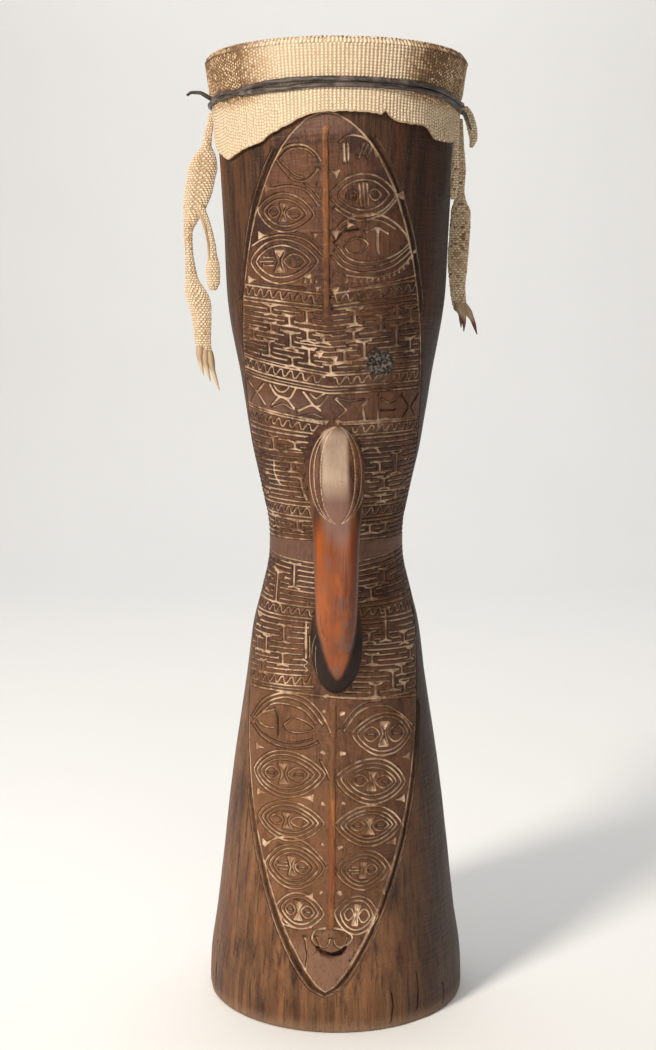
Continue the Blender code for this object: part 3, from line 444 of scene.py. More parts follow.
def rounded(points, parts=5):
    """A smooth run through a few points."""
    points = np.asarray(points, float)
    if len(points) < 4:
        return points
    near = np.vstack([2 * points[0] - points[1], points, 2 * points[-1] - points[-2]])
    found = []
    for a, b, c, d in zip(near, near[1:], near[2:], near[3:]):
        for t in np.arange(parts) / parts:
            bend = (2 * a - 5 * b + 4 * c - d) * t ** 2 + (3 * b - a - 3 * c + d) * t ** 3
            found.append(0.5 * (2 * b + (c - a) * t + bend))
    return np.array(found + [points[-1]])


def distance_to(places, points, closed):
    """Distance from many places to a run of points."""
    best = np.full(len(places), np.inf)
    ends = np.roll(points, -1, axis=0) if closed else points[1:]
    for a, b in zip(points, ends):
        along = b - a
        share = np.clip(((places - a) @ along) / max(along @ along, 1e-16), 0, 1)
        gap = places - a - share[:, None] * along
        best = np.minimum(best, np.hypot(gap[:, 0], gap[:, 1]))
    return best


class Groove:
    """A line cut by hand, with an even floor that may hold lime. A negative depth is a ridge."""

    floor = 0.36

    def __init__(self, points, width, depth, lime=1.0, closed=False, step=1.9 * MM, sway=0.16 * MM):
        self.points = resampled(points, step, closed)
        count = len(self.points)
        seed = float(self.points[0].sum() * 1000)
        drift = np.stack([ripple(self.points * 130, seed), ripple(self.points * 130, seed + 7)], axis=1)
        self.points = self.points + drift * sway
        self.half = width / 2 * (1 + 0.22 * ripple(self.points * 190, seed + 3))
        self.depth = depth
        self.lime = lime
        self.closed = closed
        if count < 2:
            raise ValueError("a groove needs two points")

    def sideways(self):
        """Direction across the groove at each point."""
        if self.closed:
            ways = np.roll(self.points, -1, axis=0) - np.roll(self.points, 1, axis=0)
        else:
            ways = np.gradient(self.points, axis=0)
        ways /= np.maximum(np.linalg.norm(ways, axis=1, keepdims=True), 1e-9)
        return np.stack([-ways[:, 1], ways[:, 0]], axis=1)

    def lines(self):
        """Runs of points that the surface has to follow: floor and lips, or a ridge's back."""
        side = self.sideways() * self.half[:, None]
        shares = (1.0, self.floor) if self.depth > 0 else (1.0, 0.72, 0.36)
        runs = []
        for share in shares:
            left = self.points + side * share
            right = self.points - side * share
            if self.closed:
                runs += [(left, True), (right, True)]
            else:
                runs.append((np.vstack([left, right[::-1]]), True))
        if self.depth < 0:
            runs.append((self.points, self.closed))
        return runs

    def shape(self, away):
        """Share of the full depth at a distance from the middle, and of its lime."""
        share = np.clip(away / self.half.mean(), 0, 1)
        if self.depth < 0:
            return np.sqrt(1 - share ** 2), np.zeros(len(share))
        cut = np.clip((1 - share) / (1 - self.floor), 0, 1)
        return cut, cut

    def reach(self):
        """Furthest distance at which the groove is felt."""
        return self.half.max() * 1.05

    def away(self, places):
        """Distance of places from the middle line."""
        return distance_to(places, self.points, self.closed)


class Chip:
    """A small pit struck out with the corner of a blade."""

    def __init__(self, points, depth, lime=1.0):
        self.points = np.asarray(points, float)
        self.centre = self.points.mean(axis=0)
        self.depth = depth
        self.lime = lime
        self.closed = True
        self.half = distance_to(self.centre[None, :], self.points, True)

    def lines(self):
        """The lip, a run where the lime starts and one round the deepest part."""
        return [(self.centre + (self.points - self.centre) * share, True) for share in (1.0, 0.8, 0.4)]

    def inside(self, places):
        """Which places lie inside the lip."""
        found = np.zeros(len(places), bool)
        x, y = places[:, 0], places[:, 1]
        for (ax, ay), (bx, by) in zip(self.points, np.roll(self.points, -1, axis=0)):
            if ay == by:
                continue
            crosses = ((ay > y) != (by > y)) & (x < (bx - ax) * (y - ay) / (by - ay) + ax)
            found ^= crosses
        return found

    def away(self, places):
        """Distance inward from the lip, turned round so that it is least in the middle."""
        inward = np.where(self.inside(places), distance_to(places, self.points, True), 0)
        return np.maximum(self.half[0] - inward, 0)

    def shape(self, away):
        """Share of the full depth, and of its lime."""
        cut = np.clip((1 - away / self.half[0]) * 1.8, 0, 1)
        return cut, np.clip(cut * 2.2, 0, 1)

    def reach(self):
        """Furthest distance at which the chip is felt."""
        return 0.0


class Carver:
    """Lays out every cut on the front of the log."""

    def __init__(self, sizes):
        self.width = sizes.line_width
        self.depth = sizes.line_depth
        self.widest = sizes.leaf_half_width
        self.side = 0
        self.cuts = []

    def line(self, points, width=1.0, depth=1.0, lime=1.0, closed=False, **more):
        """Cut one line through points in millimetres."""
        points = np.asarray(points, float) * MM
        self.cuts.append(Groove(points, self.width * width, self.depth * depth, lime, closed, **more))

    def chip(self, points, depth=1.1, lime=1.0):
        """Strike one chip through points in millimetres."""
        self.cuts.append(Chip(np.asarray(points, float) * MM, self.depth * depth, lime))

    def half_width(self, height):
        """Half width of the leaf in millimetres."""
        return float(leaf_half_width(height * MM, self.widest)) / MM

    def in_lens(self, across, height):
        """Whether a place is under the root of the handle or its pod."""
        for foot, top, half in LENSES:
            share = (height - (foot + top) / 2) / ((top - foot) / 2 + LENS_CLEARANCE)
            if abs(share) < 1 and abs(across - 1.5) < (half + LENS_CLEARANCE) * (1 - share ** 2) ** 0.6:
                return True
        return False

    def border(self):
        """The leaf's outline: a bright line, a dark gutter and a fainter outer line."""
        foot, top = LEAF
        heights = [foot + (top - foot) * (1 - math.cos(math.pi * i / 90)) / 2 for i in range(91)]
        loop = [(-self.half_width(h), h) for h in heights]
        loop += [(self.half_width(h), h) for h in heights[-2:0:-1]]
        self.line(loop, 1.0, 1.1, 1.26, True, step=2.2 * MM)
        for side, foot, top in ((-1, 452, 538), (1, 446, 546), (1, 26, 200), (-1, 26, 150)):
            run = [(side * self.half_width(h), h) for h in np.arange(foot, top, 4)]
            away = np.array([(side * min(abs(x) / 6, 1), 0.5 if h > 300 else -0.7) for x, h in run])
            self.line(np.array(run) + away * 2.2, 1.5, 1.3, 0.22, step=2.4 * MM)
            self.line(np.array(run) + away * 4.3, 0.8, 0.6, 0.6, step=2.4 * MM)

    def midribs(self):
        """The raised ribs above and below the handle, with lime chips beside them."""
        for foot, top, width, height in ((441, 551, 4.0, 1.2), (66, 202, 4.2, 1.3)):
            run = [(float(midline(h * MM)) / MM, h) for h in np.arange(foot, top, 3)]
            points = np.array(run) * MM
            self.cuts.append(Groove(points, width * MM, -height * MM, 0.0, step=2.4 * MM, sway=0.45 * MM))
        for across, height, size in RIB_CHIPS:
            way = size if across > float(midline(height * MM)) / MM else -size
            if height < 250:
                turns = np.arange(7) * TURN / 7 + across
                blob = [(t, size * (0.58 + 0.16 * math.sin(2.4 * t + height))) for t in turns]
                points = [(across + r * math.cos(t), height + r * 0.85 * math.sin(t)) for t, r in blob]
                self.chip(points, 0.9, 1.25)
                continue
            corners = ((-0.7, 0.4), (0.75, 0.55), (0.2, -0.75))
            self.chip([(across + way * x, height + size * y) for x, y in corners], 1.2, 1.2)
        for across, height, way, reach in EYE_CHIPS:
            corners = ((0, 3), (0.5, 0.9), (1.2, 0), (0.5, -0.9), (0, -3))
            points = [(across + way * reach * x, height + y) for x, y in corners]
            self.chip(points, 0.8, 1.25 if abs(across) < 20 else 0.95)

    def almond(self, middle, half_length, half_height, tilt, lime=1.0, width=0.9, sharp=0.62):
        """One ring with two pointed ends."""
        turn = np.linspace(0, TURN, 48, endpoint=False)
        x = half_length * np.cos(turn)
        y = half_height * np.sin(turn) * np.abs(np.sin(turn)) ** sharp
        c, s = math.cos(tilt), math.sin(tilt)
        ring = np.stack([middle[0] + x * c - y * s, middle[1] + x * s + y * c], axis=1)
        self.line(ring, width, 0.9, lime, True, step=1.7 * MM)

    def eye(self, across, height, half_length, half_height, tilt, rings, inside):
        """An almond of nested rings with its inner signs."""
        tilt = math.radians(tilt)
        c, s = math.cos(tilt), math.sin(tilt)
        for k, inset in enumerate(rings):
            long = half_length - inset * 1.35
            self.almond((across, height), long, half_height - inset, tilt, 1.0 - 0.12 * k)
        long = half_length - rings[-1] * 1.35 - 1.5
        tall = half_height - rings[-1] - 1.2

        def at(x, y):
            return (across + x * long * c - y * tall * s, height + x * long * s + y * tall * c)

        if inside == "strokes":
            for x in (-0.2, -0.04, 0.12):
                self.line([at(x, 0.72), at(x + 0.02, -0.72)], 1.0, 0.9)
            self.almond(at(0.46, 0), long * 0.26, tall * 0.42, tilt, 0.9, 0.8)
            self.almond(at(-0.52, -0.05), long * 0.24, tall * 0.42, tilt, 0.6, 0.8)
            self.almond(at(-0.52, -0.05), long * 0.13, tall * 0.18, tilt, 0.6, 0.7)
            return
        for up in (-1, 1):
            self.chip([at(-0.26, 0.86 * up), at(0.18, 0.86 * up), at(-0.04, 0.2 * up)], 1.1, 1.15)
        if inside == "fan":
            for x in (-0.3, -0.16, 0.08, 0.22):
                self.line([at(x, 0.8), at(-0.04, 0.0), at(x * 0.9, -0.8)], 0.7, 0.8)
        else:
            for side in (-1, 1):
                bow = ((0.2, 0.76), (0.05, 0.0), (0.2, -0.76))
                self.line([at(-0.04 + side * x, y) for x, y in bow], 0.85, 0.9)
        self.almond(at(0.5, 0), long * 0.4, tall * 0.52, tilt, 0.95, 0.85, 0.85)
        if inside == "bars":
            for y in (-0.3, 0, 0.3):
                self.line([at(-0.84 + abs(y) * 0.5, y), at(-0.34, y)], 0.8, 0.8, 0.85)
        else:
            self.almond(at(-0.55, 0), long * 0.33, tall * 0.48, tilt, 0.9, 0.8, 0.85)
        if inside != "open":
            for ends in ((0.44, 0.62), (-0.64, -0.5)):
                self.line([at(x, 0) for x in ends], 0.8, 0.6, 0.6)

    def bent(self, level, across):
        """Height of a band's line away from the midline."""
        left = float(eased([(h, climb) for h, climb, _ in CLIMBS], level))
        right = float(eased([(h, climb) for h, _, climb in CLIMBS], level))
        return level + (left if across < 0 else right) * abs(across) / 70

    def runs(self, level, blocked, step=1.5):
        """Pieces of one line across the leaf that nothing blocks."""
        reach = self.half_width(self.bent(level, -60)) - 0.6
        run, found = [], []
        for across in np.arange(-reach, reach, step):
            height = self.bent(level, across)
            off_leaf = self.side * across < 0 or abs(across) > self.half_width(height) - 0.3
            on_rib = height > 436 and abs(across) < 2.4
            if off_leaf or on_rib or self.in_lens(across, height) or blocked(across, height):
                found.append(run)
                run = []
            else:
                run.append((across, height))
        found.append(run)
        return [run for run in found if len(run) > 2]

    def edge(self, level, lime=1.0, width=0.9):
        """One line right across the leaf, broken where the handle springs."""
        for run in self.runs(level, lambda across, height: False, step=3.0):
            self.line(run, width, 0.9, lime)

    def teeth(self, top, foot):
        """A zigzag between two lines, broken at the midline."""
        self.edge(top)
        self.edge(foot)
        self.edge(foot - 2.1, 0.7, 0.8)
        middle = (top + foot) / 2
        tall = (top - foot) / 2 - 1.45
        for run in self.runs(middle, lambda across, height: abs(across) < 2, step=1.75):
            zigzag = [(x + 0.5 * (-1) ** (i // 2), y + tall * (1, 1, -1, -1)[i % 4])
                      for i, (x, y) in enumerate(run)]
            self.line(zigzag, 0.85, 1.0, 1.0, step=1.1 * MM, sway=0.3 * MM)

    def keys(self, top, foot):
        """Rungs across the leaf that stop short of the upright strokes and meet at their ends."""
        stems = []
        for x, high, low in STEMS:
            level = (high + low) / 2 - (self.bent(foot, x) - foot)
            if foot - 2 < level < top and self.side * x >= 0:
                stems.append((x, high, low))

        def blocked(across, height):
            wave = math.sin(across * 0.63 + height * 2.3) + math.sin(across * 0.21 - height * 1.1)
            return wave > 1.72 or any(abs(across - x) < 3.4 and low + 1.3 < height < high - 1.3
                                      for x, high, low in stems)

        count = int(round((top - foot) / RUNG_PITCH))
        for k in range(count):
            for run in self.runs(top - (k + 0.5) * (top - foot) / count, blocked):
                self.line(run, 0.85, 0.9, 0.9 if k % 2 else 0.75)
        for x, high, low in stems:
            self.line([(x, high), (x + 0.2, low)], 1.15, 1.05)
            for end, way in ((high, 1), (low, -1)):
                lean = self.bent(end, x + math.copysign(SERIF, x)) - self.bent(end, x)
                lean = math.copysign(lean, lean * x)
                limit = self.half_width(end) - 1.5
                self.line([(max(x - SERIF, -limit), end + way * 0.5 - lean), (x, end - way * 0.4),
                           (min(x + SERIF, limit), end + way * 0.5 + lean)])

    def plain(self, top, foot):
        """A band without keys."""
        self.edge(top)
        self.edge(foot)

    def snout(self):
        """Nostrils and mouth of the little face at the leaf's lower tip."""
        for side in (-1, 1):
            arc = ((1.4, 58.6), (2.4, 55.6), (5.2, 54.0), (8.2, 55.6), (9.4, 58.8))
            self.line(rounded([(4 + side * x, z) for x, z in arc]), 0.9, 1.2, 0.8)
        for corner in ([(-4.6, 52.6), (-2.4, 50.6), (0.2, 49.4)], [(12.2, 52.8), (9.8, 50.8), (7.2, 49.4)]):
            self.line(corner, 1.8, 2.6, 0.28)
        self.line([(-2.2, 50.2), (3.8, 48.6), (9.8, 50.4)], 2.7, 3.4, 0.28)

    def everything(self):
        """All the cuts of the front."""
        self.border()
        self.midribs()
        for eye in EYES:
            self.eye(*eye)
        for width, lime, *points in LINES:
            self.line(rounded(points), width, 1.0, lime)
        for (x, y), (u, v) in zip(LASH_ROW, LASH_ROW[1:]):
            for share in (0.1, 0.6):
                a, b = x + (u - x) * share, y + (v - y) * share
                self.chip([(a, b - 1.8), (a + 2.8, b - 0.6), (a + 3.0, b + 2.8)], 1.1, 1.25)
        for x in (-15, -11.5, -8):
            self.chip([(x, 459.4), (x + 2.6, 460.2), (x + 1.8, 465)], 1.1, 1.25)
        for kind, top, foot, *side in BANDS:
            self.side = side[0] if side else 0
            {"teeth": self.teeth, "keys": self.keys, "plain": self.plain}[kind](top, foot)
        self.snout()
        for across, foot, top in FOOT_CRACKS:
            self.line([(across, top), (across + 1.2, (foot + top) / 2), (across, foot)], 0.55, 1.4, 0.0)
        return self.cuts


def to_sheet(log, places):
    """From places on the surface to the flattened sheet."""
    return np.stack([(FRONT + places[:, 0] / log.radius(places[:, 1])) * SHEET_RADIUS, places[:, 1]], axis=1)


def off_sheet(log, flat):
    """From the flattened sheet back to places on the surface."""
    return np.stack([(flat[:, 0] / SHEET_RADIUS - FRONT) * log.radius(flat[:, 1]), flat[:, 1]], axis=1)


def nearby(places, cut, reach):
    """Which places lie in the box round a cut."""
    low = cut.points.min(axis=0) - reach - HAIR
    high = cut.points.max(axis=0) + reach + HAIR
    return np.nonzero(((places >= low) & (places <= high)).all(axis=1))[0]


def on_border(sheet, axis, side, limit):
    """Points on one border of the sheet, in order along it."""
    found = np.nonzero(side * sheet[:, axis] > side * limit - HAIR / 10)[0]
    return found[np.argsort(sheet[found, 1 - axis])]


def sheet_of(cuts, log, sides):
    """The log's flattened skin, as points and faces that follow every cut."""
    points, edges = [], []
    for cut in cuts:
        for run, closed in cut.lines():
            first = len(points)
            points.extend(Vector((float(x), float(y))) for x, y in to_sheet(log, run))
            last = len(points) - 1
            edges.extend((i, i + 1) for i in range(first, last))
            if closed:
                edges.append((last, first))
    foot, top = log.skin
    rows = int(round((top - foot) / ROW))
    grid = []
    for k in range(1, rows):
        height = foot + (top - foot) * k / rows
        shift = 0.5 if k % 2 else 0.0
        grid += [(GIRTH * ((i + shift) / sides - 0.5), height) for i in range(0 if shift else 1, sides)]
    pit = np.array([(x, y) for x in np.arange(*PIT_POINTS[0]) for y in np.arange(*PIT_POINTS[1])]) * MM
    grid = np.vstack([np.array(grid), to_sheet(log, pit)])
    places = off_sheet(log, grid)
    clear = np.ones(len(grid), bool)
    for cut in cuts:
        reach = cut.reach() + 0.9 * MM
        near = nearby(places, cut, reach)
        blocked = distance_to(places[near], cut.points, cut.closed) < reach
        if isinstance(cut, Chip):
            blocked |= cut.inside(places[near])
        clear[near[blocked]] = False
    seam = [(side * GIRTH / 2, foot + (top - foot) * k / rows) for k in range(rows + 1) for side in (-1, 1)]
    rims = [(GIRTH * (i / sides - 0.5), height) for height in (foot, top) for i in range(1, sides)]
    flat = np.vstack([grid[clear], seam, rims])
    points.extend(Vector((float(x), float(y))) for x, y in flat)
    sheet, _, faces, _, _, _ = delaunay_2d_cdt(points, edges, [], 0, 0.02 * MM, False)
    return np.array([(p.x, p.y) for p in sheet]), faces


def relief_of(cuts, sheet, log, widest):
    """Radius of the carved skin at every point of the sheet, and what its material reads."""
    places = off_sheet(log, sheet)
    cut_depth, lift, lime, rib = np.zeros((4, len(sheet)))
    for cut in cuts:
        near = nearby(places, cut, cut.reach())
        if not len(near):
            continue
        depth, fill = cut.shape(cut.away(places[near]))
        if cut.depth < 0:
            lift[near] = np.maximum(lift[near], -cut.depth * depth)
            rib[near] = np.maximum(rib[near], depth)
        else:
            cut_depth[near] = np.maximum(cut_depth[near], cut.depth * depth)
            lime[near] = np.maximum(lime[near], cut.lime * fill)
    across, up = places.T / MM
    x, y, half, tall, rise = SNOUT
    away = np.hypot((across - x) / half, (up - y) / tall)
    lift = np.maximum(lift, rise * MM * np.clip(1 - away ** 2, 0, 1) ** 0.7)
    x, y, half, tall = PIT
    inside = np.hypot((across - x) / half, (up - y) / tall)
    rough = ripple(places * 700, 3.0)
    pitted = np.clip((1 - inside + 0.35 * ripple(places * 260, 9.0)) * 4, 0, 1)
    cut_depth = cut_depth * (1 - pitted) + pitted * (0.9 + 0.9 * rough) * MM
    edge = leaf_half_width(places[:, 1], widest) - np.abs(places[:, 0])
    leaf = np.clip(edge / MM + 0.5, 0, 1) * (places[:, 1] > LEAF[0] * MM) * (places[:, 1] < LEAF[1] * MM)
    facets = ripple(places * np.array([90, 14]), 5.0) * 0.30 * MM
    facets += ripple(places * np.array([240, 60]), 2.0) * 0.10 * MM
    radius = log.radius(sheet[:, 1]) - cut_depth + lift + facets
    chipped = np.clip(ripple(sheet * 60, 11.0) - 0.15, 0, 1)
    radius -= chipped * np.clip(1 - sheet[:, 1] / (9 * MM), 0, 1) * 2.4 * MM
    return radius, {"lime": lime * (1 - pitted), "rib": rib, "leaf": leaf, "pitted": pitted}


def hollow_rings(log, azimuths):
    """Rings from the foot's outer edge up the hollow to the head's outer edge."""
    profile = [(log.base_radius - 0.6 * MM, 0.7 * MM), (log.base_radius - 2.2 * MM, 0.0),
               (float(log.bore(0.0)) + 1.5 * MM, 0.0)]
    profile += [(float(log.bore(h)), h) for h in np.linspace(1.5 * MM, log.top - 1 * MM, 30)]
    profile += [(float(log.bore(log.top)) + 1 * MM, log.top), (log.head_radius - 2 * MM, log.top)]
    rings = []
    for k, (radius, height) in enumerate(profile):
        amount = 0.7 * MM if 2 < k < len(profile) - 2 else 0.25 * MM
        rough = round_ripple(azimuths, 3, 4.0, height * 25) * amount
        rings.append(around(radius + rough, azimuths, height))
    return rings


def log_piece(sizes, log, wood):
    """The carved log with its hollow."""
    cuts = Carver(sizes).everything()
    sides = sizes.sides
    sheet, faces = sheet_of(cuts, log, sides)
    radius, tags = relief_of(cuts, sheet, log, sizes.leaf_half_width)
    verts = around(radius, sheet[:, 0] / SHEET_RADIUS, sheet[:, 1])

    # the two sides of the sheet meet at the back of the log
    left = on_border(sheet, 0, -1, -GIRTH / 2)
    right = on_border(sheet, 0, 1, GIRTH / 2)
    if len(left) != len(right):
        raise ValueError("the two sides of the log don't match")
    merged = np.arange(len(sheet))
    merged[right] = left
    keep = np.ones(len(sheet), bool)
    keep[right] = False
    order = (np.cumsum(keep) - 1)[merged]
    faces = [[int(order[i]) for i in face] for face in faces]
    verts = verts[keep]
    sheet = sheet[keep]

    # rims and hollow: rings from the sheet's lower border to its upper one
    azimuths = np.array([TURN * (i / sides - 0.5) for i in range(sides)])
    inner = hollow_rings(log, azimuths)
    rings = [on_border(sheet, 1, -1, log.skin[0])]
    rings += [len(verts) + k * sides + np.arange(sides) for k in range(len(inner))]
    rings.append(on_border(sheet, 1, 1, log.skin[1]))
    for below, above in zip(rings, rings[1:]):
        for i in range(sides):
            j = (i + 1) % sides
            faces.append([int(below[j]), int(below[i]), int(above[i]), int(above[j])])
    rest = np.zeros(len(inner) * sides)
    tags = {name: np.concatenate([values[keep], rest]) for name, values in tags.items()}
    return solid("carved_log", np.vstack([verts] + inner), faces, wood, tags, 32)


def linked(name, data):
    """New object in the scene."""
    thing = bpy.data.objects.new(name, data)
    bpy.context.scene.collection.objects.link(thing)
    return thing


def write_tags(mesh, tags):
    """Store named values on a mesh's points."""
    for tag, values in tags.items():
        mesh.attributes.new(tag, "FLOAT", "POINT").data.foreach_set("value", np.asarray(values, np.float32))


def read_rows(mesh, name):
    """Places or normals of a mesh's points, one row each."""
    rows = np.zeros(len(mesh.vertices) * 3)
    mesh.vertices.foreach_get(name, rows)
    return rows.reshape(-1, 3)


def solid(name, verts, faces, material, tags=None, sharp=None):
    """Object of plain mesh data, with faces outward and its attributes."""
    mesh = bpy.data.meshes.new(name)
    mesh.from_pydata([tuple(map(float, v)) for v in verts], [], faces)
    write_tags(mesh, tags or {})
    mesh.validate()
    face_outward(mesh)
    mesh.shade_smooth()
    if sharp:
        mesh.set_sharp_from_angle(angle=math.radians(sharp))
    mesh.materials.append(material)
    return linked(name, mesh)


def face_outward(mesh):
    """Turn the faces outward."""
    bm = bmesh.new()
    bm.from_mesh(mesh)
    bmesh.ops.recalc_face_normals(bm, faces=bm.faces)
    bm.to_mesh(mesh)
    bm.free()


def baked(thing, name):
    """Plain mesh of an evaluated object, which is removed."""
    depsgraph = bpy.context.evaluated_depsgraph_get()
    mesh = bpy.data.meshes.new_from_object(thing.evaluated_get(depsgraph), preserve_all_data_layers=True,
                                           depsgraph=depsgraph)
    mesh.name = name
    old = thing.data
    bpy.data.objects.remove(thing, do_unlink=True)
    bpy.data.meshes.remove(old)
    return linked(name, mesh)


def loft(rings, verts, faces):
    """Closed skin over rings of places."""
    first = len(verts)
    sides = len(rings[0])
    for ring in rings:
        verts.extend(ring)
    for k in range(len(rings) - 1):
        for i in range(sides):
            j = (i + 1) % sides
            a = first + k * sides
            faces.append([a + i, a + j, a + sides + j, a + sides + i])
    faces.append([first + i for i in reversed(range(sides))])
    last = first + (len(rings) - 1) * sides
    faces.append([last + i for i in range(sides)])


def oval(count, start=0.0, across=1.0, through=1.0):
    """Places round a squarish oval, as shares of its half width and half thickness."""
    turns = [TURN * (k + start) / count for k in range(count)]
    return [(math.copysign(abs(math.cos(t)) ** across, math.cos(t)),
             math.copysign(abs(math.sin(t)) ** through, math.sin(t))) for t in turns]


def heading(path, i):
    """Direction of a path at one of its points."""
    return (path[min(i + 1, len(path) - 1)] - path[max(i - 1, 0)]).normalized()


def lens_line(across, height, lens, half, width):
    """How near places lie to one side of a lens shaped line."""
    middle, reach = lens
    share = np.clip((height - middle) / reach, -1, 1)
    gap = np.abs(across - half * (1 - np.abs(share) ** 2.2) ** 0.6)
    return np.clip(1 - gap / width, 0, 1) * (np.abs(height - middle) < reach)


def handle_block(grip, log, wood):
    """The loop and its two pods as closed skins that run into each other."""
    top, foot = (end * MM for end in HANDLE_ENDS)
    reach = log.waist_radius + grip.finger_gap + grip.depth / 2
    start = Vector((0, grip.root_sink - float(log.radius(top)), top))
    end = Vector((0, grip.root_sink - float(log.radius(foot)), foot))
    out = (-reach - (start.y + end.y) / 8) / 0.75
    drop = (top - foot) * 0.15
    path = interpolate_bezier(start, Vector((0, out, top - drop)), Vector((0, out, foot + drop)), end, 40)
    verts, faces, rings = [], [], []
    side = Vector((1, 0, 0))
    for i, centre in enumerate(path):
        lift = side.cross(heading(path, i))
        half = grip.width / 2 * float(eased(HANDLE_TAPER, i / (len(path) - 1)))
        rings.append([tuple(centre + side * (x * half) + lift * (y * grip.depth / 2))
                      for x, y in oval(32, 0.5, 0.85, 0.85)])
    loft(rings, verts, faces)
    for end_height, towards, width, depth, height in PODS:
        centre = (end_height + towards * (height - 8)) * MM
        width, depth, height = width * MM, depth * MM, height * MM
        lean = math.atan2(float(log.radius(centre + height / 2) - log.radius(centre - height / 2)), height)
        turn = Matrix.Rotation(lean, 3, "X")
        rings = []
        for i in range(1, 32):
            polar = math.pi * i / 32
            spots = [turn @ Vector((width * math.sin(polar) * x, depth * math.sin(polar) * y,
                                    height * math.cos(polar))) for x, y in oval(40)]
            rings.append([(p.x, p.y - float(log.radius(centre)), p.z + centre) for p in spots])
        loft(rings, verts, faces)
    return solid("handle_block", verts, faces, wood)


def handle_piece(log, grip, wood):
    """The loop handle with its lens shaped root and its lower pod."""
    block = handle_block(grip, log, wood)
    remesh = block.modifiers.new("one skin", "REMESH")
    remesh.mode = "VOXEL"
    remesh.voxel_size = grip.voxel
    smooth = block.modifiers.new("worn", "SMOOTH")
    smooth.factor = 0.5
    smooth.iterations = 22
    piece = baked(block, "loop_handle")
    mesh = piece.data
    places = read_rows(mesh, "co")
    normals = read_rows(mesh, "normal")
    x, _, z = places.T / MM
    outward = np.hypot(places[:, 0], places[:, 1]) - log.radius(places[:, 2])
    lines = np.zeros(len(places))
    for half in ROOT_LINES:
        near = lens_line(np.abs(x - 0.6), z, ROOT_LENS, half, 0.75)
        lines = np.maximum(lines, near * (normals[:, 1] < -0.05))
    for half in POD_LINES:
        near = lens_line(-x, z, POD_LENS, half, 0.7)
        lines = np.maximum(lines, near * (outward < 9 * MM) * (normals[:, 1] < 0) * 0.8)
    facets = ripple(places * np.array([120, 120, 26]), 1.0) * 0.35 * MM
    places = places - normals * (lines[:, None] * 0.8 * MM) + normals * facets[:, None]
    mesh.vertices.foreach_set("co", places.ravel())

    def within(value, start, span):
        return np.clip((value - start) / span, 0, 1)

    tongue = within(14.5 * np.sqrt(within(z, 219, 40)), np.abs(x - 0.5), 2.5)
    held = within(outward / MM, 6, 5) * within(324, z, 16) * tongue
    write_tags(mesh, {
        "lime": lines * 0.75,
        "held": held,
        "pale": within(z, 330, 14) * within(9.0, np.abs(x + 1.0), 2.4) * within(377, z, 8),
        # painted shade below the grip, wherever it is not held
        "shade": within(264, z, 20) * (1 - held),
        "mauve": within(z, 300, 16) * within(348, z, 12) * within(9, np.abs(x), 3),
    })
    mesh.update()
    mesh.shade_smooth()
    return piece


class HideShape:
    """Outer surface of the stretched hide, over the head and down the collar."""

    def __init__(self, log, thickness):
        self.log = log
        self.thickness = thickness
        self.shoulder = log.top - 2 * MM
        self.drum_top = log.top + FIT_GAP + thickness

    def edge(self, azimuth):
        """Height of the ragged lower edge."""
        degrees = np.degrees(azimuth)
        frayed = round_ripple(azimuth, 22, 6.0) * 0.7 * MM
        return self.drum_top - eased(HIDE_EDGE, degrees) * MM + frayed

    def collar(self, azimuth, share, outset):
        """Places on the collar, from the shoulder at 0 to the lower edge at 1."""
        height = self.shoulder + (self.edge(azimuth) - self.shoulder) * share
        away = (np.degrees(azimuth) - 61) / 9
        below = np.clip((share - 0.6) / 0.4, 0, 1)
        fold = 2.6 * MM * np.clip(1 - np.abs(away), 0, 1) * below
        middle, reach, deep = (size * MM for size in VINE_DENT)
        pinch = np.exp(-((height - middle) / reach) ** 2) * deep
        swell = round_ripple(azimuth, 5, 8.0, height * 60) * 0.5 * MM
        crease = ripple(np.stack([azimuth * 14, height * 20], axis=-1), 3.0)
        lift = np.clip((share - 0.86) / 0.14, 0, 1) * 0.9 * MM * (0.5 + 0.5 * crease)
        radius = self.log.radius(height) + FIT_GAP + np.clip(outset + fold - pinch + swell + lift, 0.0, None)
        return around(radius, azimuth, height)

    def head(self, azimuth, radius, height):
        """Places on the stretched head."""
        dent = ripple(np.stack([radius * np.sin(azimuth) * 40, radius * np.cos(azimuth) * 40], axis=-1), 2.0)
        return around(radius, azimuth, height + np.minimum(dent * 0.35 * MM, 0))


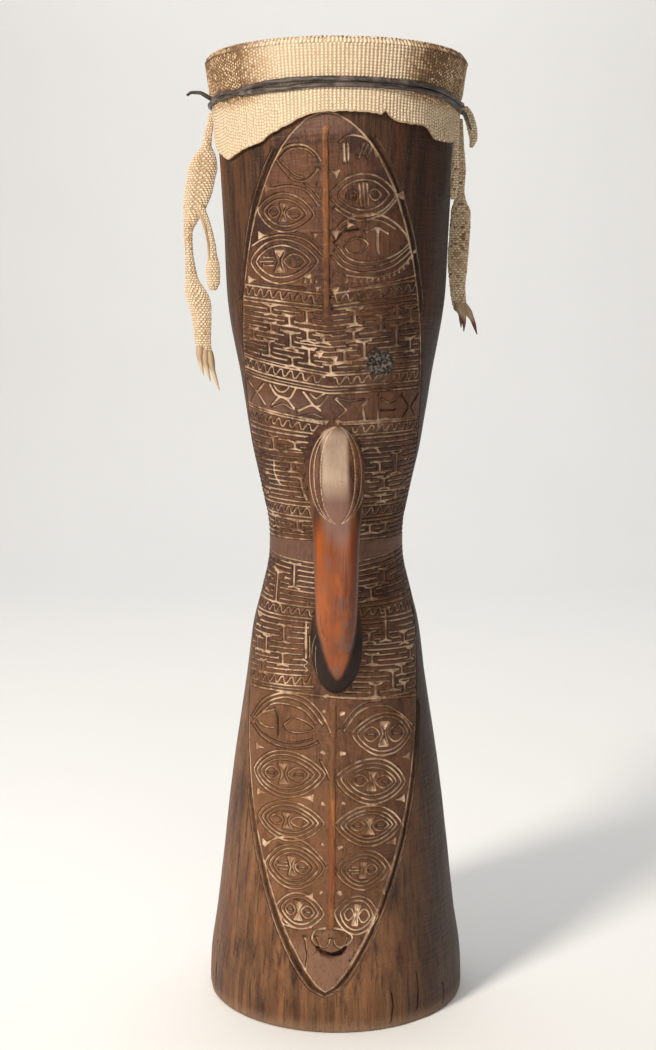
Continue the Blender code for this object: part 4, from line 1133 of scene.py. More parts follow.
def hide_piece(shape, material, sides):
    """The hide as one thin closed shell."""
    azimuths = np.linspace(-math.pi, math.pi, sides, endpoint=False)
    rim = shape.log.head_radius - 2 * MM
    rows = []
    for share in (0.03, 0.12, 0.24, 0.36, 0.48, 0.6, 0.72, 0.84, 0.94):
        rows.append(shape.head(azimuths, rim * share, shape.drum_top - 0.02 * MM))
    rows.append(shape.head(azimuths, rim, shape.drum_top))
    bumps = round_ripple(azimuths, 9, 1.0) * 0.6 * MM
    lump = np.exp(-((azimuths + 1.15) / 0.3) ** 2) * 2.4 * MM
    bumps += ripple(np.stack([azimuths * 9, azimuths * 0], axis=1), 4.0) * lump
    rows.append(around(rim + 1.3 * MM + bumps, azimuths, shape.drum_top - 0.5 * MM))
    rows.append(around(rim + 2.4 * MM + bumps, azimuths, shape.drum_top - 1.6 * MM))
    down = np.linspace(0, 1, 30)
    rows += [shape.collar(azimuths, share, shape.thickness) for share in down]
    rows += [shape.collar(azimuths, share, 0.0) for share in (0.995, 0.9, 0.6, 0.3, 0.0)]
    rows.append(around(rim, azimuths, shape.drum_top - shape.thickness))
    rows.append(around(rim * 0.5, azimuths, shape.drum_top - shape.thickness))
    verts, faces = [], []
    loft([[tuple(p) for p in row] for row in rows], verts, faces)
    brown = [0.4 if math.hypot(x, y) < rim + 0.5 * MM and z > shape.drum_top - 1 * MM
             else side_darkness(math.degrees(math.atan2(x, -y)), z) for x, y, z in verts]
    return solid("lizard_hide", verts, faces, material, {"brown": brown}, 50)


def smooth_run(marks, count):
    """Even marks along a run, smoothly through the given ones."""
    heights = [-mark[0] for mark in marks]
    even = np.linspace(heights[0], heights[-1], count)
    columns = [eased(list(zip(heights, column)), even) for column in list(zip(*marks))[1:]]
    return np.stack([-even] + columns, axis=1)


def strip_rings(marks, way, y, count=64, sides=18):
    """Rings of a cupped strip of hide that hangs beside the log."""
    rings = []
    for height, x, width in smooth_run(marks, count):
        seed = noise_at(height * 0.09, y * 0.1 + way, 3.0)
        ring = []
        for across, through in oval(sides, 0.5, 0.75, 0.8):
            across = across * width / 2 * (1 + 0.05 * seed)
            through = through * STRIP_THICKNESS / 2
            cup = 1.1 * (1 - (across / max(width / 2, 0.1)) ** 2) * min(width / 14, 1)
            ring.append(((way * x + across) * MM, (y + through - cup + 0.5) * MM, height * MM))
        rings.append(ring)
    return rings


def tube_rings(path, radii, sides):
    """Rings round a path."""
    rings = []
    for i, centre in enumerate(path):
        along = heading(path, i)
        side = along.cross(Vector((0, 1, 0))).normalized()
        lift = side.cross(along)
        rings.append([tuple(centre + (side * x + lift * y) * radii[i]) for x, y in oval(sides)])
    return rings


def legs_piece(material):
    """Legs, flap and claws of the animal, left on its hide."""
    verts, faces = [], []
    for marks, way, y in STRIPS:
        loft(strip_rings(marks, way, y), verts, faces)
    bare = len(verts)
    for claws, way, y in ((LEFT_CLAWS, -1, 0), (RIGHT_CLAWS, 1, 10)):
        for (z0, x0), (z1, x1), width in claws:
            start = Vector((way * x0, y, z0)) * MM
            tip = Vector((way * x1, y - 1.5, z1)) * MM
            knee = (start + tip) / 2 + Vector((way * 1.2, -1.6, 0.8)) * MM
            path = interpolate_bezier(start, knee, knee, tip, CLAW_RINGS)
            radii = []
            for share in np.linspace(0, 1, CLAW_RINGS):
                toe = 1.0 + 0.14 * math.sin(share * 9)
                radii.append(max(width / 2 * MM * toe * (1 - share ** 2.2 * 0.9), 0.25 * MM))
            loft(tube_rings(path, radii, CLAW_SIDES), verts, faces)
    claw = np.zeros(len(verts))
    along = np.repeat(np.linspace(0, 1, CLAW_RINGS), CLAW_SIDES)
    claw[bare:] = np.clip((np.tile(along, len(LEFT_CLAWS + RIGHT_CLAWS)) - 0.45) * 4, 0, 1)
    return solid("hide_legs", verts, faces, material, {"claw": claw, "brown": claw * 0 + 0.15}, 60)


def scale_seeds(shape):
    """Places for the scales: ribs in front, grains towards the sides, with size, length and tone."""
    seeds = []
    girth = TURN * 79 * MM
    for ribbed, pitch in ((True, 2.35 * MM), (False, 2.0 * MM)):
        columns = int(girth / pitch)
        for i in range(columns):
            azimuth = -math.pi + TURN * i / columns
            degrees = math.degrees(azimuth)
            front = -26 < degrees < 44
            if front != ribbed:
                continue
            deep = shape.drum_top - float(shape.edge(np.array([azimuth]))[0])
            step = 1.75 * MM if ribbed else 1.9 * MM
            count = int((deep - 2.6 * MM) / step)
            for k in range(count):
                share = (k + 0.6 + (0.5 if i % 2 and not ribbed else 0)) / (count + 0.6)
                sway = noise_at(i * 0.93, k * 1.37, 5.0)
                turn = azimuth + sway * (0.002 if ribbed else 0.009)
                dark = side_darkness(degrees, shape.drum_top - deep * share)
                speckle = noise_at(i * 1.7, k * 2.1, 9.0)
                tone = 0.74 + speckle * (0.16 + 0.3 * dark) - dark * 0.46
                size = pitch * ((0.50 if ribbed else 0.52) + 0.06 * sway)
                seeds.append((turn, share, size, 1.0 if ribbed else 1.0 + 0.2 * sway, tone))
    return seeds


def side_darkness(degrees, height):
    """How brown the scales are: pale in front and below the vine, brown towards the sides above it."""
    side = np.clip((abs(degrees + 2) - 26) / 18, 0, 1)
    above = np.clip((height / MM - 563) / 8, 0, 1)
    back = np.clip((abs(degrees) - 70) / 20, 0, 1)
    right = np.clip((degrees - 40) / 20, 0, 1)
    return max(side * above, 0.22 * right, 0.6 * back)


def collar_scales(shape):
    """Scales over the collar and the stretched head: place, up, out, size, length and tone of each."""
    seeds = scale_seeds(shape)
    azimuth = np.array([seed[0] for seed in seeds])
    share = np.array([seed[1] for seed in seeds])
    spot = shape.collar(azimuth, share, shape.thickness)
    up = spot - shape.collar(azimuth, share + 0.01, shape.thickness)
    up /= np.linalg.norm(up, axis=1, keepdims=True)
    right = np.stack([np.cos(azimuth), np.sin(azimuth), np.zeros(len(azimuth))], axis=1)
    out = np.cross(right, up)
    found = [(p - o * 0.1 * MM, u, o, *seed[2:]) for p, u, o, seed in zip(spot, up, out, seeds)]
    rim = shape.log.head_radius
    for grown, down, tilt in ((1.3, 3.1, 0.5), (0.3, 1.9, 0.55), (-0.6, 0.6, 1.0)):
        count = int(TURN * rim / (2.3 * MM))
        for i in range(count):
            turn = -math.pi + TURN * i / count
            sway = noise_at(i * 0.77, grown * 9, 4.0)
            out = around(math.cos(tilt), turn, math.sin(tilt))
            up = around(-math.sin(tilt), turn, math.cos(tilt))
            place = around(rim + (grown + 0.4 * sway) * MM, turn, shape.drum_top - down * MM)
            tone = 0.72 + 0.3 * sway - 0.5 * side_darkness(math.degrees(turn), shape.drum_top)
            found.append((place, up, out, (1.2 + 0.15 * sway) * MM, 1.1, tone))
    ring = 0
    radius = rim - 1.4 * MM
    while radius > 2.5 * MM:
        count = int(TURN * radius / (2.9 * MM))
        for i in range(count):
            turn = TURN * (i + 0.5 * (ring % 2)) / count
            sway = noise_at(i * 0.77, ring * 1.9, 4.0)
            place = around(radius + sway * 0.5 * MM, turn, shape.drum_top - 0.12 * MM)
            tone = 0.58 + 0.4 * sway - (0.2 if radius > rim - 9 * MM else 0)
            found.append((place, around(1.0, turn, 0.0), (0, 0, 1.0), (1.48 + 0.18 * sway) * MM, 1.0, tone))
        radius -= 2.75 * MM
        ring += 1
    return found


def leg_scales():
    """Scales over the legs and strips, like those of the collar."""
    found = []
    for marks, way, y in STRIPS:
        rows = int((marks[0][0] - marks[-1][0]) / 1.45)
        rings = strip_rings(marks, way, y, rows, LEG_GRAINS)
        widths = smooth_run(marks, rows)[:, 2]
        for k in range(1, rows - 1):
            centre = sum((Vector(p) for p in rings[k]), Vector()) / LEG_GRAINS
            for i in range(LEG_GRAINS):
                if widths[k] < 7 and i % 2:
                    continue
                here = Vector(rings[k][i])
                if k % 2:
                    here = (here + Vector(rings[k][(i + 1) % LEG_GRAINS])) / 2
                across = Vector(rings[k][(i + 1) % LEG_GRAINS]) - Vector(rings[k][i - 1])
                rise = Vector(rings[k - 1][i]) - Vector(rings[k + 1][i])
                out = rise.cross(across).normalized()
                if out.dot(here - centre) < 0:
                    out = -out
                sway = noise_at(i * 1.1, k * 1.7, way * 3.0)
                wide = across.length * (0.34 if widths[k] >= 7 else 0.6)
                size = min(max(wide, 0.8 * MM), 1.5 * MM) * (1 + 0.2 * sway)
                grains = noise_at(i * 2.3, k * 2.9, 6.0)
                tone = 0.66 + 0.35 * sway - (0.05 - 0.9 * grains if way > 0 and here.z < 0.535 else 0)
                found.append((here - out * 0.1 * MM, rise.normalized(), out, size, 0.85 * MM / size, tone))
    return found


def scales_piece(name, found, material):
    """Raised scales, set on points by a node tree."""
    columns = list(zip(*found))
    mesh = bpy.data.meshes.new(name + "_seeds")
    mesh.from_pydata([tuple(map(float, place)) for place in columns[0]], [], [])
    for label, values in zip(("up", "out"), columns[1:3]):
        values = np.array([tuple(v) for v in values], np.float32)
        mesh.attributes.new(label, "FLOAT_VECTOR", "POINT").data.foreach_set("vector", values.ravel())
    write_tags(mesh, dict(zip(("size", "length", "tone"), columns[3:])))
    return grown(name, mesh, shared("Scales on points", scale_tree), {
        "Sides": 6, "Thickness": 0.34, "Crown": 0.42, "Seed": 3, "Material": material})


def grown(name, mesh, tree, values):
    """Finished piece that a node tree makes on a mesh of points or runs."""
    thing = linked(name + "_seeds", mesh)
    modifier = thing.modifiers.new("nodes", "NODES")
    modifier.node_group = tree
    for item in tree.interface.items_tree:
        if item.item_type == "SOCKET" and item.in_out == "INPUT" and item.name in values:
            modifier[item.identifier] = values[item.name]
    return baked(thing, name)


def new_tree(name, kind, inputs, outputs):
    """Node tree with named inputs, each with its kind and value, and named outputs."""
    tree = bpy.data.node_groups.new(name, kind + "NodeTree")
    for label, socket_kind, value in inputs:
        socket = tree.interface.new_socket(label, in_out="INPUT", socket_type="NodeSocket" + socket_kind)
        if value is not None:
            socket.default_value = value
    for label, socket_kind in outputs:
        tree.interface.new_socket(label, in_out="OUTPUT", socket_type="NodeSocket" + socket_kind)
    return tree


def end_tree(net, geometry, material):
    """End a geometry tree with real, smooth meshes and their material."""
    whole = net.add("GeometryNodeRealizeInstances", {"Geometry": geometry})
    soft = net.add("GeometryNodeSetShadeSmooth", {"Geometry": whole.outputs[0]})
    done = net.add("GeometryNodeSetMaterial", {"Geometry": soft.outputs[0], "Material": material})
    net.add("NodeGroupOutput", {"Geometry": done.outputs[0]})
    return net.tree


def scale_tree():
    """One low scale on every point, turned to the point's own ways."""
    net = Net(new_tree("Scales on points", "Geometry", [
        ("Geometry", "Geometry", None), ("Sides", "Int", 6), ("Thickness", "Float", 0.42),
        ("Crown", "Float", 0.5), ("Seed", "Int", 3), ("Material", "Material", None),
    ], [("Geometry", "Geometry")]))
    given = net.add("NodeGroupInput").outputs
    cone = net.add("GeometryNodeMeshCone", {
        "Vertices": given["Sides"], "Radius Top": given["Crown"], "Radius Bottom": 1.0,
        "Depth": given["Thickness"]})
    turn = net.add("FunctionNodeAxesToRotation", {
        "Primary Axis": net.read("out", "FLOAT_VECTOR"), "Secondary Axis": net.read("up", "FLOAT_VECTOR")},
        primary_axis="Z", secondary_axis="Y")
    chance = net.add("FunctionNodeRandomValue", {"Seed": given["Seed"], 2: 0.9, 3: 1.1})
    size = net.times(net.read("size", "FLOAT"), chance.outputs[1])
    long = net.times(size, net.read("length", "FLOAT"))
    scale = net.add("ShaderNodeCombineXYZ", {"X": size, "Y": long, "Z": size})
    placed = net.add("GeometryNodeInstanceOnPoints", {
        "Points": given["Geometry"], "Instance": cone.outputs["Mesh"], "Rotation": turn.outputs[0],
        "Scale": scale.outputs[0]})
    return end_tree(net, placed.outputs[0], given["Material"])


def strand_tree():
    """A round strand along every run of edges, as thick as its own points say."""
    net = Net(new_tree("Strands", "Geometry", [
        ("Geometry", "Geometry", None), ("Sides", "Int", 10), ("Thickness", "Float", 1.0),
        ("Knots", "Float", 0.12), ("Material", "Material", None),
    ], [("Geometry", "Geometry")]))
    given = net.add("NodeGroupInput").outputs
    curve = net.add("GeometryNodeMeshToCurve", {"Mesh": given["Geometry"]})
    bumps = net.add("ShaderNodeTexNoise", {"Scale": 260.0, "Detail": 2.0})
    knots = net.times(net.math("SUBTRACT", bumps.outputs[0], 0.5), given["Knots"])
    thick = net.times(net.times(net.read("radius", "FLOAT"), given["Thickness"]), net.plus(knots, 1.0))
    along = net.add("GeometryNodeSplineParameter").outputs["Length"]
    kept = net.add("GeometryNodeStoreNamedAttribute", {
        "Geometry": curve.outputs[0], "Name": "along", "Value": along}, data_type="FLOAT")
    circle = net.add("GeometryNodeCurvePrimitiveCircle", {"Resolution": given["Sides"], "Radius": 1.0})
    across = net.add("GeometryNodeSplineParameter").outputs["Factor"]
    marked = net.add("GeometryNodeStoreNamedAttribute", {
        "Geometry": circle.outputs[0], "Name": "across", "Value": across}, data_type="FLOAT")
    mesh = net.add("GeometryNodeCurveToMesh", {
        "Curve": kept.outputs[0], "Profile Curve": marked.outputs[0], "Scale": thick, "Fill Caps": True})
    return end_tree(net, mesh.outputs[0], given["Material"])


def strands(name, runs, material, sides, knots):
    """Piece of round strands along runs of (place, radius)."""
    verts, edges, radii = [], [], []
    for run in runs:
        first = len(verts)
        for place, radius in run:
            verts.append(tuple(place))
            radii.append(radius)
        edges += [(i, i + 1) for i in range(first, len(verts) - 1)]
    mesh = bpy.data.meshes.new(name)
    mesh.from_pydata(verts, edges, [])
    write_tags(mesh, {"radius": radii})
    piece = grown(name, mesh, shared("Strands", strand_tree), {
        "Sides": sides, "Thickness": 1.0, "Knots": knots, "Material": material})
    face_outward(piece.data)
    return piece


def vine_piece(shape, radius, material):
    """The dark vine: a tail, one and a half turns, and a tail."""
    degrees = np.arange(*VINE_RANGE)
    heights = eased(VINE_PATH, degrees) * MM
    azimuths = np.radians(degrees)
    folded = (azimuths + math.pi) % (TURN) - math.pi
    share = (shape.shoulder - heights) / (shape.shoulder - shape.edge(folded))
    on_hide = shape.collar(folded, share, shape.thickness + radius * 0.86)
    weave = ripple(np.stack([degrees * 0.09, degrees * 0], axis=1), 2.0)
    run = []
    for place, sway in zip(on_hide, weave):
        run.append((Vector(place) + Vector((0, 0, sway * 0.35 * MM)), radius * (1 + 0.14 * sway)))
    start = run[0][0]
    end = run[-1][0]
    left_tail = [Vector((x, start.y / MM + y, z)) * MM for x, y, z in VINE_LEFT_TAIL]
    right_tail = [Vector((end.x / MM + x, end.y / MM + y, z)) * MM for x, y, z in VINE_RIGHT_TAIL]
    run = [(p, radius * (0.55 + 0.12 * i)) for i, p in enumerate(left_tail)] + run
    run += [(p, radius * (0.85 - 0.2 * i)) for i, p in enumerate(right_tail)]
    return strands("vine_binding", [finer(run)], material, 12, 0.22)


def finer(run, step=1.1 * MM):
    """The same run with even, closer points."""
    places = np.array([tuple(p) for p, _ in run])
    radii = np.array([r for _, r in run])
    along = np.concatenate([[0], np.cumsum(np.linalg.norm(np.diff(places, axis=0), axis=1))])
    marks = np.linspace(0, along[-1], int(along[-1] / step))
    columns = [eased(list(zip(along, places[:, k])), marks) for k in range(3)]
    thick = np.interp(marks, along, radii)
    return [(Vector((a, b, c)), r) for a, b, c, r in zip(*columns, thick)]


def shreds_piece(material):
    """Dry sinews between the flap and the left leg."""
    runs = []
    for k in range(9):
        a = noise_at(k * 1.3, 0.5, 1.0)
        b = noise_at(k * 2.1, 3.5, 2.0)
        start = Vector((-88.6 + 1.5 * b + 0.6 * k, -1.2 + a, 512 - k * 1.2)) * MM
        end = Vector((-79.4 - 0.9 * (k % 3), -1.2 + b, 494 - k * 3.2)) * MM
        bend = (start + end) / 2 + Vector((1.5 - 2 * a, -1.0, -3 - 2 * b)) * MM
        path = interpolate_bezier(start, bend, bend, end, 14)
        runs.append([(p, (0.55 - 0.02 * i) * MM) for i, p in enumerate(path)])
    return strands("hide_sinews", runs, material, 6, 0.5)


class Net:
    """Short hand for adding and joining nodes."""

    def __init__(self, tree):
        self.tree = tree

    def add(self, kind, inputs=None, **settings):
        """New node, with inputs given as values or as other nodes' outputs."""
        node = self.tree.nodes.new(kind)
        for name, value in settings.items():
            setattr(node, name, value)
        for name, value in (inputs or {}).items():
            self.give(node.inputs[name], value)
        return node

    def give(self, socket, value):
        """Join or set one input."""
        if isinstance(value, bpy.types.NodeSocket):
            self.tree.links.new(value, socket)
        elif socket.type == "RGBA":
            socket.default_value = (*value, 1.0)
        else:
            socket.default_value = value

    def read(self, name, kind):
        """Named attribute in a geometry tree."""
        node = self.add("GeometryNodeInputNamedAttribute", {"Name": name}, data_type=kind)
        return node.outputs["Attribute"]

    def tag(self, name):
        """Attribute of the mesh in a material."""
        return self.add("ShaderNodeAttribute", attribute_name=name).outputs["Fac"]

    def axis(self, vector, name):
        """One coordinate."""
        return self.add("ShaderNodeSeparateXYZ", {"Vector": vector}).outputs[name]

    def math(self, operation, a, b=0.0):
        """Result of one sum."""
        return self.add("ShaderNodeMath", {0: a, 1: b}, operation=operation).outputs[0]

    def times(self, a, b):
        """Product of two."""
        return self.math("MULTIPLY", a, b)

    def plus(self, a, b):
        """Sum of two."""
        return self.math("ADD", a, b)

    def between(self, value, low, high):
        """0 below low, 1 above high, smooth between them."""
        return self.add("ShaderNodeMapRange", {"Value": value, "From Min": low, "From Max": high},
                        interpolation_type="SMOOTHSTEP").outputs["Result"]

    def mix(self, share, a, b):
        """Mix of two colours."""
        return self.add("ShaderNodeMix", {0: share, 6: a, 7: b}, data_type="RGBA").outputs[2]

    def blend(self, a, b, value, low, high, share=None):
        """Colour a that goes over into b as a value rises from low to high, or only a share of the way."""
        amount = self.between(value, low, high)
        return self.mix(self.times(amount, share) if share else amount, a, b)

    def noise(self, vector, scale, detail=4.0, rough=0.55):
        """Cloudy noise."""
        return self.add("ShaderNodeTexNoise", {
            "Vector": vector, "Scale": scale, "Detail": detail, "Roughness": rough}).outputs[0]

    def streaks(self, vector, scale, detail=4.0, rough=0.55):
        """Noise drawn out along the axes, with a scale for each."""
        return self.noise(self.add("ShaderNodeMapping", {"Vector": vector, "Scale": scale}).outputs[0],
                          1.0, detail, rough)

    def group(self, name, make, inputs):
        """Place a shared group."""
        return self.add("ShaderNodeGroup", inputs, node_tree=shared(name, make)).outputs

    def wood(self, where, fineness):
        """Grain, stain and height of old wood."""
        return self.group("Old grain", grain_group, {"Vector": where, "Fineness": fineness})

    def patches(self, where, size, cover):
        """Mask of worn patches."""
        given = {"Vector": where, "Size": size, "Cover": cover}
        return self.group("Worn patches", patch_group, given)["Mask"]


def grain_group():
    """Grain, stain and pores of old wood, from coordinates that run along the log."""
    net = Net(new_tree("Old grain", "Shader", [("Vector", "Vector", None), ("Fineness", "Float", 1.0)],
                       [("Grain", "Float"), ("Stain", "Float"), ("Height", "Float")]))
    given = net.add("NodeGroupInput").outputs
    fine = net.add("ShaderNodeVectorMath", {
        0: given["Vector"], "Scale": given["Fineness"]}, operation="SCALE").outputs[0]
    fibres = net.streaks(fine, (700, 700, 26), 5.0, 0.65)
    bands = net.streaks(fine, (150, 150, 7), 4.0, 0.6)
    stain = net.streaks(fine, (34, 34, 14), 6.0, 0.6)
    pores = net.between(net.streaks(fine, (1500, 1500, 90), 2.0), 0.60, 0.72)
    grain = net.plus(net.times(fibres, 0.45), net.times(bands, 0.55))
    height = net.math("SUBTRACT", grain, net.times(pores, 0.35))
    net.add("NodeGroupOutput", {"Grain": grain, "Stain": stain, "Height": height})
    return net.tree


def patch_group():
    """Worn patches: a mask that breaks up what is laid over a surface."""
    net = Net(new_tree("Worn patches", "Shader", [
        ("Vector", "Vector", None), ("Size", "Float", 60.0), ("Cover", "Float", 0.5)], [("Mask", "Float")]))
    given = net.add("NodeGroupInput").outputs
    large = net.noise(given["Vector"], given["Size"], 3.0)
    small = net.noise(given["Vector"], net.times(given["Size"], 9.0), 3.0)
    both = net.plus(net.times(large, 0.62), net.times(small, 0.38))
    low = net.math("SUBTRACT", 0.92, net.times(given["Cover"], 0.9))
    net.add("NodeGroupOutput", {"Mask": net.between(net.math("SUBTRACT", both, low), -0.09, 0.09)})
    return net.tree


def blank(name, **fixed):
    """New material with its fixed values, and the parts of its tree."""
    material = bpy.data.materials.new(name)
    material.use_nodes = True
    net = Net(material.node_tree)
    shader = material.node_tree.nodes["Principled BSDF"]
    for label, value in fixed.items():
        shader.inputs[label.replace("_", " ")].default_value = value
    where = net.add("ShaderNodeTexCoord").outputs["Object"]
    return material, net, shader, where


def bump(net, shader, height, strength, distance):
    """Relief in the shading."""
    node = net.add("ShaderNodeBump", {"Height": height, "Distance": distance, "Strength": strength})
    net.give(shader.inputs["Normal"], node.outputs[0])


def bare_wood(net, wood, where, side, height, colours):
    """Tone of the plain wood: dark grain, worn streaks, red streaks, and painted shade towards the right."""
    tone = net.blend(colours.wood_dark_and_shade, colours.wood, wood["Grain"], 0.38, 0.60)
    worn = net.between(net.plus(wood["Stain"], net.times(height, -0.62)), 0.28, 0.52)
    light = net.between(net.streaks(where, (260, 260, 10)), 0.40, 0.62)
    tone = net.mix(net.times(worn, net.plus(0.45, net.times(light, 0.55))), tone, colours.wood_light)
    tone = net.blend(tone, colours.wood_red, net.streaks(where, (60, 60, 6)), 0.52, 0.66, 0.5)
    tone = net.blend(tone, colours.wood_dark_and_shade, net.streaks(where, (420, 420, 14), 5.0), 0.52, 0.66, 0.66)
    # painted shade: the plain wood darkens towards the right side, away from the key light
    return net.blend(tone, colours.wood_dark_and_shade, side, 0.012, 0.070, 0.78)


def panel_wood(net, wood, where, side, height, colours):
    """Tone of the carved leaf: blotched, warmer low on the left, with pinkish worn belts."""
    low = net.between(height, 0.30, 0.12)
    warm = net.between(side, 0.05, -0.05)
    panel = net.mix(net.times(net.patches(where, 30.0, 0.50), 0.85), colours.leaf_dark, colours.leaf)
    panel = net.mix(net.times(low, net.plus(0.18, net.times(warm, 0.55))), panel, colours.wood_light)
    panel = net.blend(panel, colours.leaf_dark, wood["Grain"], 0.48, 0.62, 0.5)
    panel = net.blend(panel, colours.snout, height, 0.060, 0.048, 0.6)
    belt = net.times(net.between(height, 0.286, 0.290), net.between(height, 0.305, 0.301))
    belt = net.math("MAXIMUM", belt, net.between(height, 0.543, 0.549))
    crosses = net.times(net.between(height, 0.378, 0.384), net.between(height, 0.396, 0.390))
    belt = net.math("MAXIMUM", belt, net.times(crosses, net.times(warm, 0.9)))
    return net.mix(net.times(belt, 0.55), panel, colours.belt)


def log_wood(colours):
    """Dark smoked wood with lime in its cuts, painted shade on their walls, and an ochre rib."""
    material, net, shader, where = blank("smoked carved wood", Specular_IOR_Level=0.32)
    wood = net.wood(where, 1.0)
    side = net.axis(where, "X")
    height = net.axis(where, "Z")
    tone = net.mix(net.tag("leaf"), bare_wood(net, wood, where, side, height, colours),
                   panel_wood(net, wood, where, side, height, colours))
    kept = net.patches(where, 120.0, 0.58)
    fresh = net.patches(where, 24.0, 0.46)
    held = net.times(net.plus(net.times(kept, 0.54), 0.20), net.plus(net.times(fresh, 0.4), 0.58))
    held = net.plus(held, net.times(net.between(height, 0.30, 0.12), 0.26))
    cut = net.tag("lime")
    full = net.between(cut, 1.02, 1.4)
    held = net.math("MAXIMUM", held, full)
    # painted shade on the walls of the cuts, round the lime on their floors
    tone = net.blend(tone, colours.wood_dark_and_shade, cut, 0.02, 0.24, 0.8)
    rib = net.between(net.tag("rib"), 0.2, 0.75)
    bright = net.plus(net.times(net.between(height, 0.42, 0.52), 0.50), net.between(height, 0.185, 0.12))
    ochre = net.times(rib, net.plus(net.times(bright, 0.75), 0.12))
    ochre = net.times(ochre, net.plus(0.35, net.times(net.patches(where, 95.0, 0.50), 0.65)))
    tone = net.mix(ochre, tone, net.blend(colours.grip, colours.ochre, wood["Grain"], 0.42, 0.6))
    lime = net.times(net.between(cut, 0.30, 0.85), held)
    tone = net.mix(lime, tone, net.mix(net.math("MAXIMUM", fresh, full), colours.tan, colours.lime))
    pitted = net.tag("pitted")
    gravel = net.noise(where, 620.0, 3.0)
    tone = net.mix(pitted, tone, net.blend(colours.pit_dark, colours.pit_light, gravel, 0.44, 0.66))
    tone = net.blend(tone, colours.foot, height, 0.010, 0.0, net.times(net.patches(where, 90.0, 0.6), 0.6))
    net.give(shader.inputs["Base Color"], tone)
    rough = net.plus(0.38, net.times(wood["Grain"], 0.24))
    net.give(shader.inputs["Roughness"], net.plus(rough, net.times(lime, 0.4)))
    ticks = net.streaks(where, (60, 60, 420), 2.0)
    relief = net.plus(wood["Height"], net.times(ticks, 0.5))
    bump(net, shader, net.plus(relief, net.times(gravel, pitted)), 0.8, 0.0016)
    return material


def handle_wood(colours):
    """The handle: pale and dusty at its root, rubbed red and glossy where it is held, with painted light and
    shade: a highlight on the grip's left edge, shade on its right side, a reflection down its middle, and
    black shade below.
    """
    material, net, shader, where = blank("rubbed handle wood", Specular_IOR_Level=0.25, Coat_Roughness=0.22)
    wood = net.wood(where, 0.8)
    side = net.axis(where, "X")
    held = net.tag("held")
    tone = net.blend(colours.leaf_dark, colours.leaf, wood["Grain"], 0.40, 0.60)
    warm = net.blend(colours.grip, colours.grip_streak_and_highlight, net.streaks(where, (120, 120, 40)), 0.40, 0.58)
    # painted highlight: the grip lightens towards its left edge
    warm = net.blend(warm, colours.grip_streak_and_highlight, side, 0.001, -0.010, 0.5)
    # painted shade: the grip darkens towards its right side
    warm = net.blend(warm, colours.grip_dark, side, 0.002, 0.012, 0.8)
    # painted reflection: mauve streaks down the middle of the grip
    mauve = net.between(net.streaks(where, (150, 150, 60)), 0.53, 0.60)
    middle = net.math("SUBTRACT", 1.0, net.between(net.math("ABSOLUTE", side), 0.005, 0.010))
    warm = net.mix(net.times(net.times(mauve, middle), 0.8), warm, colours.grip_reflection_tint)
    warm = net.blend(warm, colours.grip_dark, wood["Grain"], 0.54, 0.64, 0.6)
    tone = net.mix(held, tone, warm)
    tone = net.mix(net.times(net.tag("mauve"), 0.75), tone, colours.mauve)
    dusted = net.patches(where, 60.0, 0.66)
    pale = net.times(net.tag("pale"), net.plus(0.5, net.times(dusted, 0.5)))
    tone = net.mix(pale, tone, net.blend(colours.dust, colours.dust_dark, wood["Stain"], 0.42, 0.62))
    # painted shade under the grip, over its lower pod
    tone = net.mix(net.times(net.tag("shade"), 0.9), tone, colours.grip_underside_shade)
    lime = net.times(net.between(net.tag("lime"), 0.3, 0.8), net.plus(0.35, net.times(dusted, 0.5)))
    net.give(shader.inputs["Base Color"], net.mix(lime, tone, colours.lime))
    gloss = net.math("SUBTRACT", 0.50, net.times(held, 0.27))
    net.give(shader.inputs["Roughness"], net.plus(gloss, net.times(wood["Grain"], 0.12)))
    net.give(shader.inputs["Coat Weight"], net.times(held, 0.35))
    bump(net, shader, wood["Height"], 0.5, 0.0010)
    return material


def hide_skin(colours):
    """Skin between and under the scales, with the claws: pale on the left leg, red brown on the right."""
    material, net, shader, where = blank("dry lizard hide", Roughness=0.62)
    tone = net.mix(net.tag("brown"), colours.hide_under, colours.hide_dark)
    claw = net.blend(colours.claw_pale, colours.claw_red, net.axis(where, "X"), -0.01, 0.01)
    net.give(shader.inputs["Base Color"], net.mix(net.tag("claw"), tone, claw))
    bump(net, shader, net.noise(where, 1100.0, 3.0), 0.5, 0.0006)
    return material


def scale_skin(colours):
    """The scales, cream to brown by their own tone."""
    material, net, shader, where = blank("lizard scales", Roughness=0.5)
    stain = net.patches(where, 38.0, 0.5)
    tone = net.plus(net.tag("tone"), net.times(net.math("SUBTRACT", stain, 0.6), 0.22))
    colour = net.blend(colours.scale_dark, colours.scale_mid, tone, 0.12, 0.46)
    net.give(shader.inputs["Base Color"], net.blend(colour, colours.scale_light, tone, 0.38, 0.72))
    bump(net, shader, net.noise(where, 1600.0, 2.0), 0.3, 0.0004)
    return material


def vine_bark(colours):
    """Dark shiny vine with ridges along it."""
    material, net, shader, where = blank("dark vine")
    turn = net.add("ShaderNodeCombineXYZ", {
        "X": net.times(net.tag("across"), 6.0), "Y": net.times(net.tag("along"), 60.0)}).outputs[0]
    ridges = net.noise(turn, 1.6, 4.0)
    blotch = net.noise(where, 120.0, 3.0)
    colour = net.blend(colours.vine_dark, colours.vine, ridges, 0.42, 0.62)
    net.give(shader.inputs["Base Color"], net.blend(colour, colours.vine_pale, blotch, 0.5, 0.7, 0.6))
    net.give(shader.inputs["Roughness"], net.plus(0.24, net.times(blotch, 0.22)))
    bump(net, shader, ridges, 0.7, 0.0012)
    return material


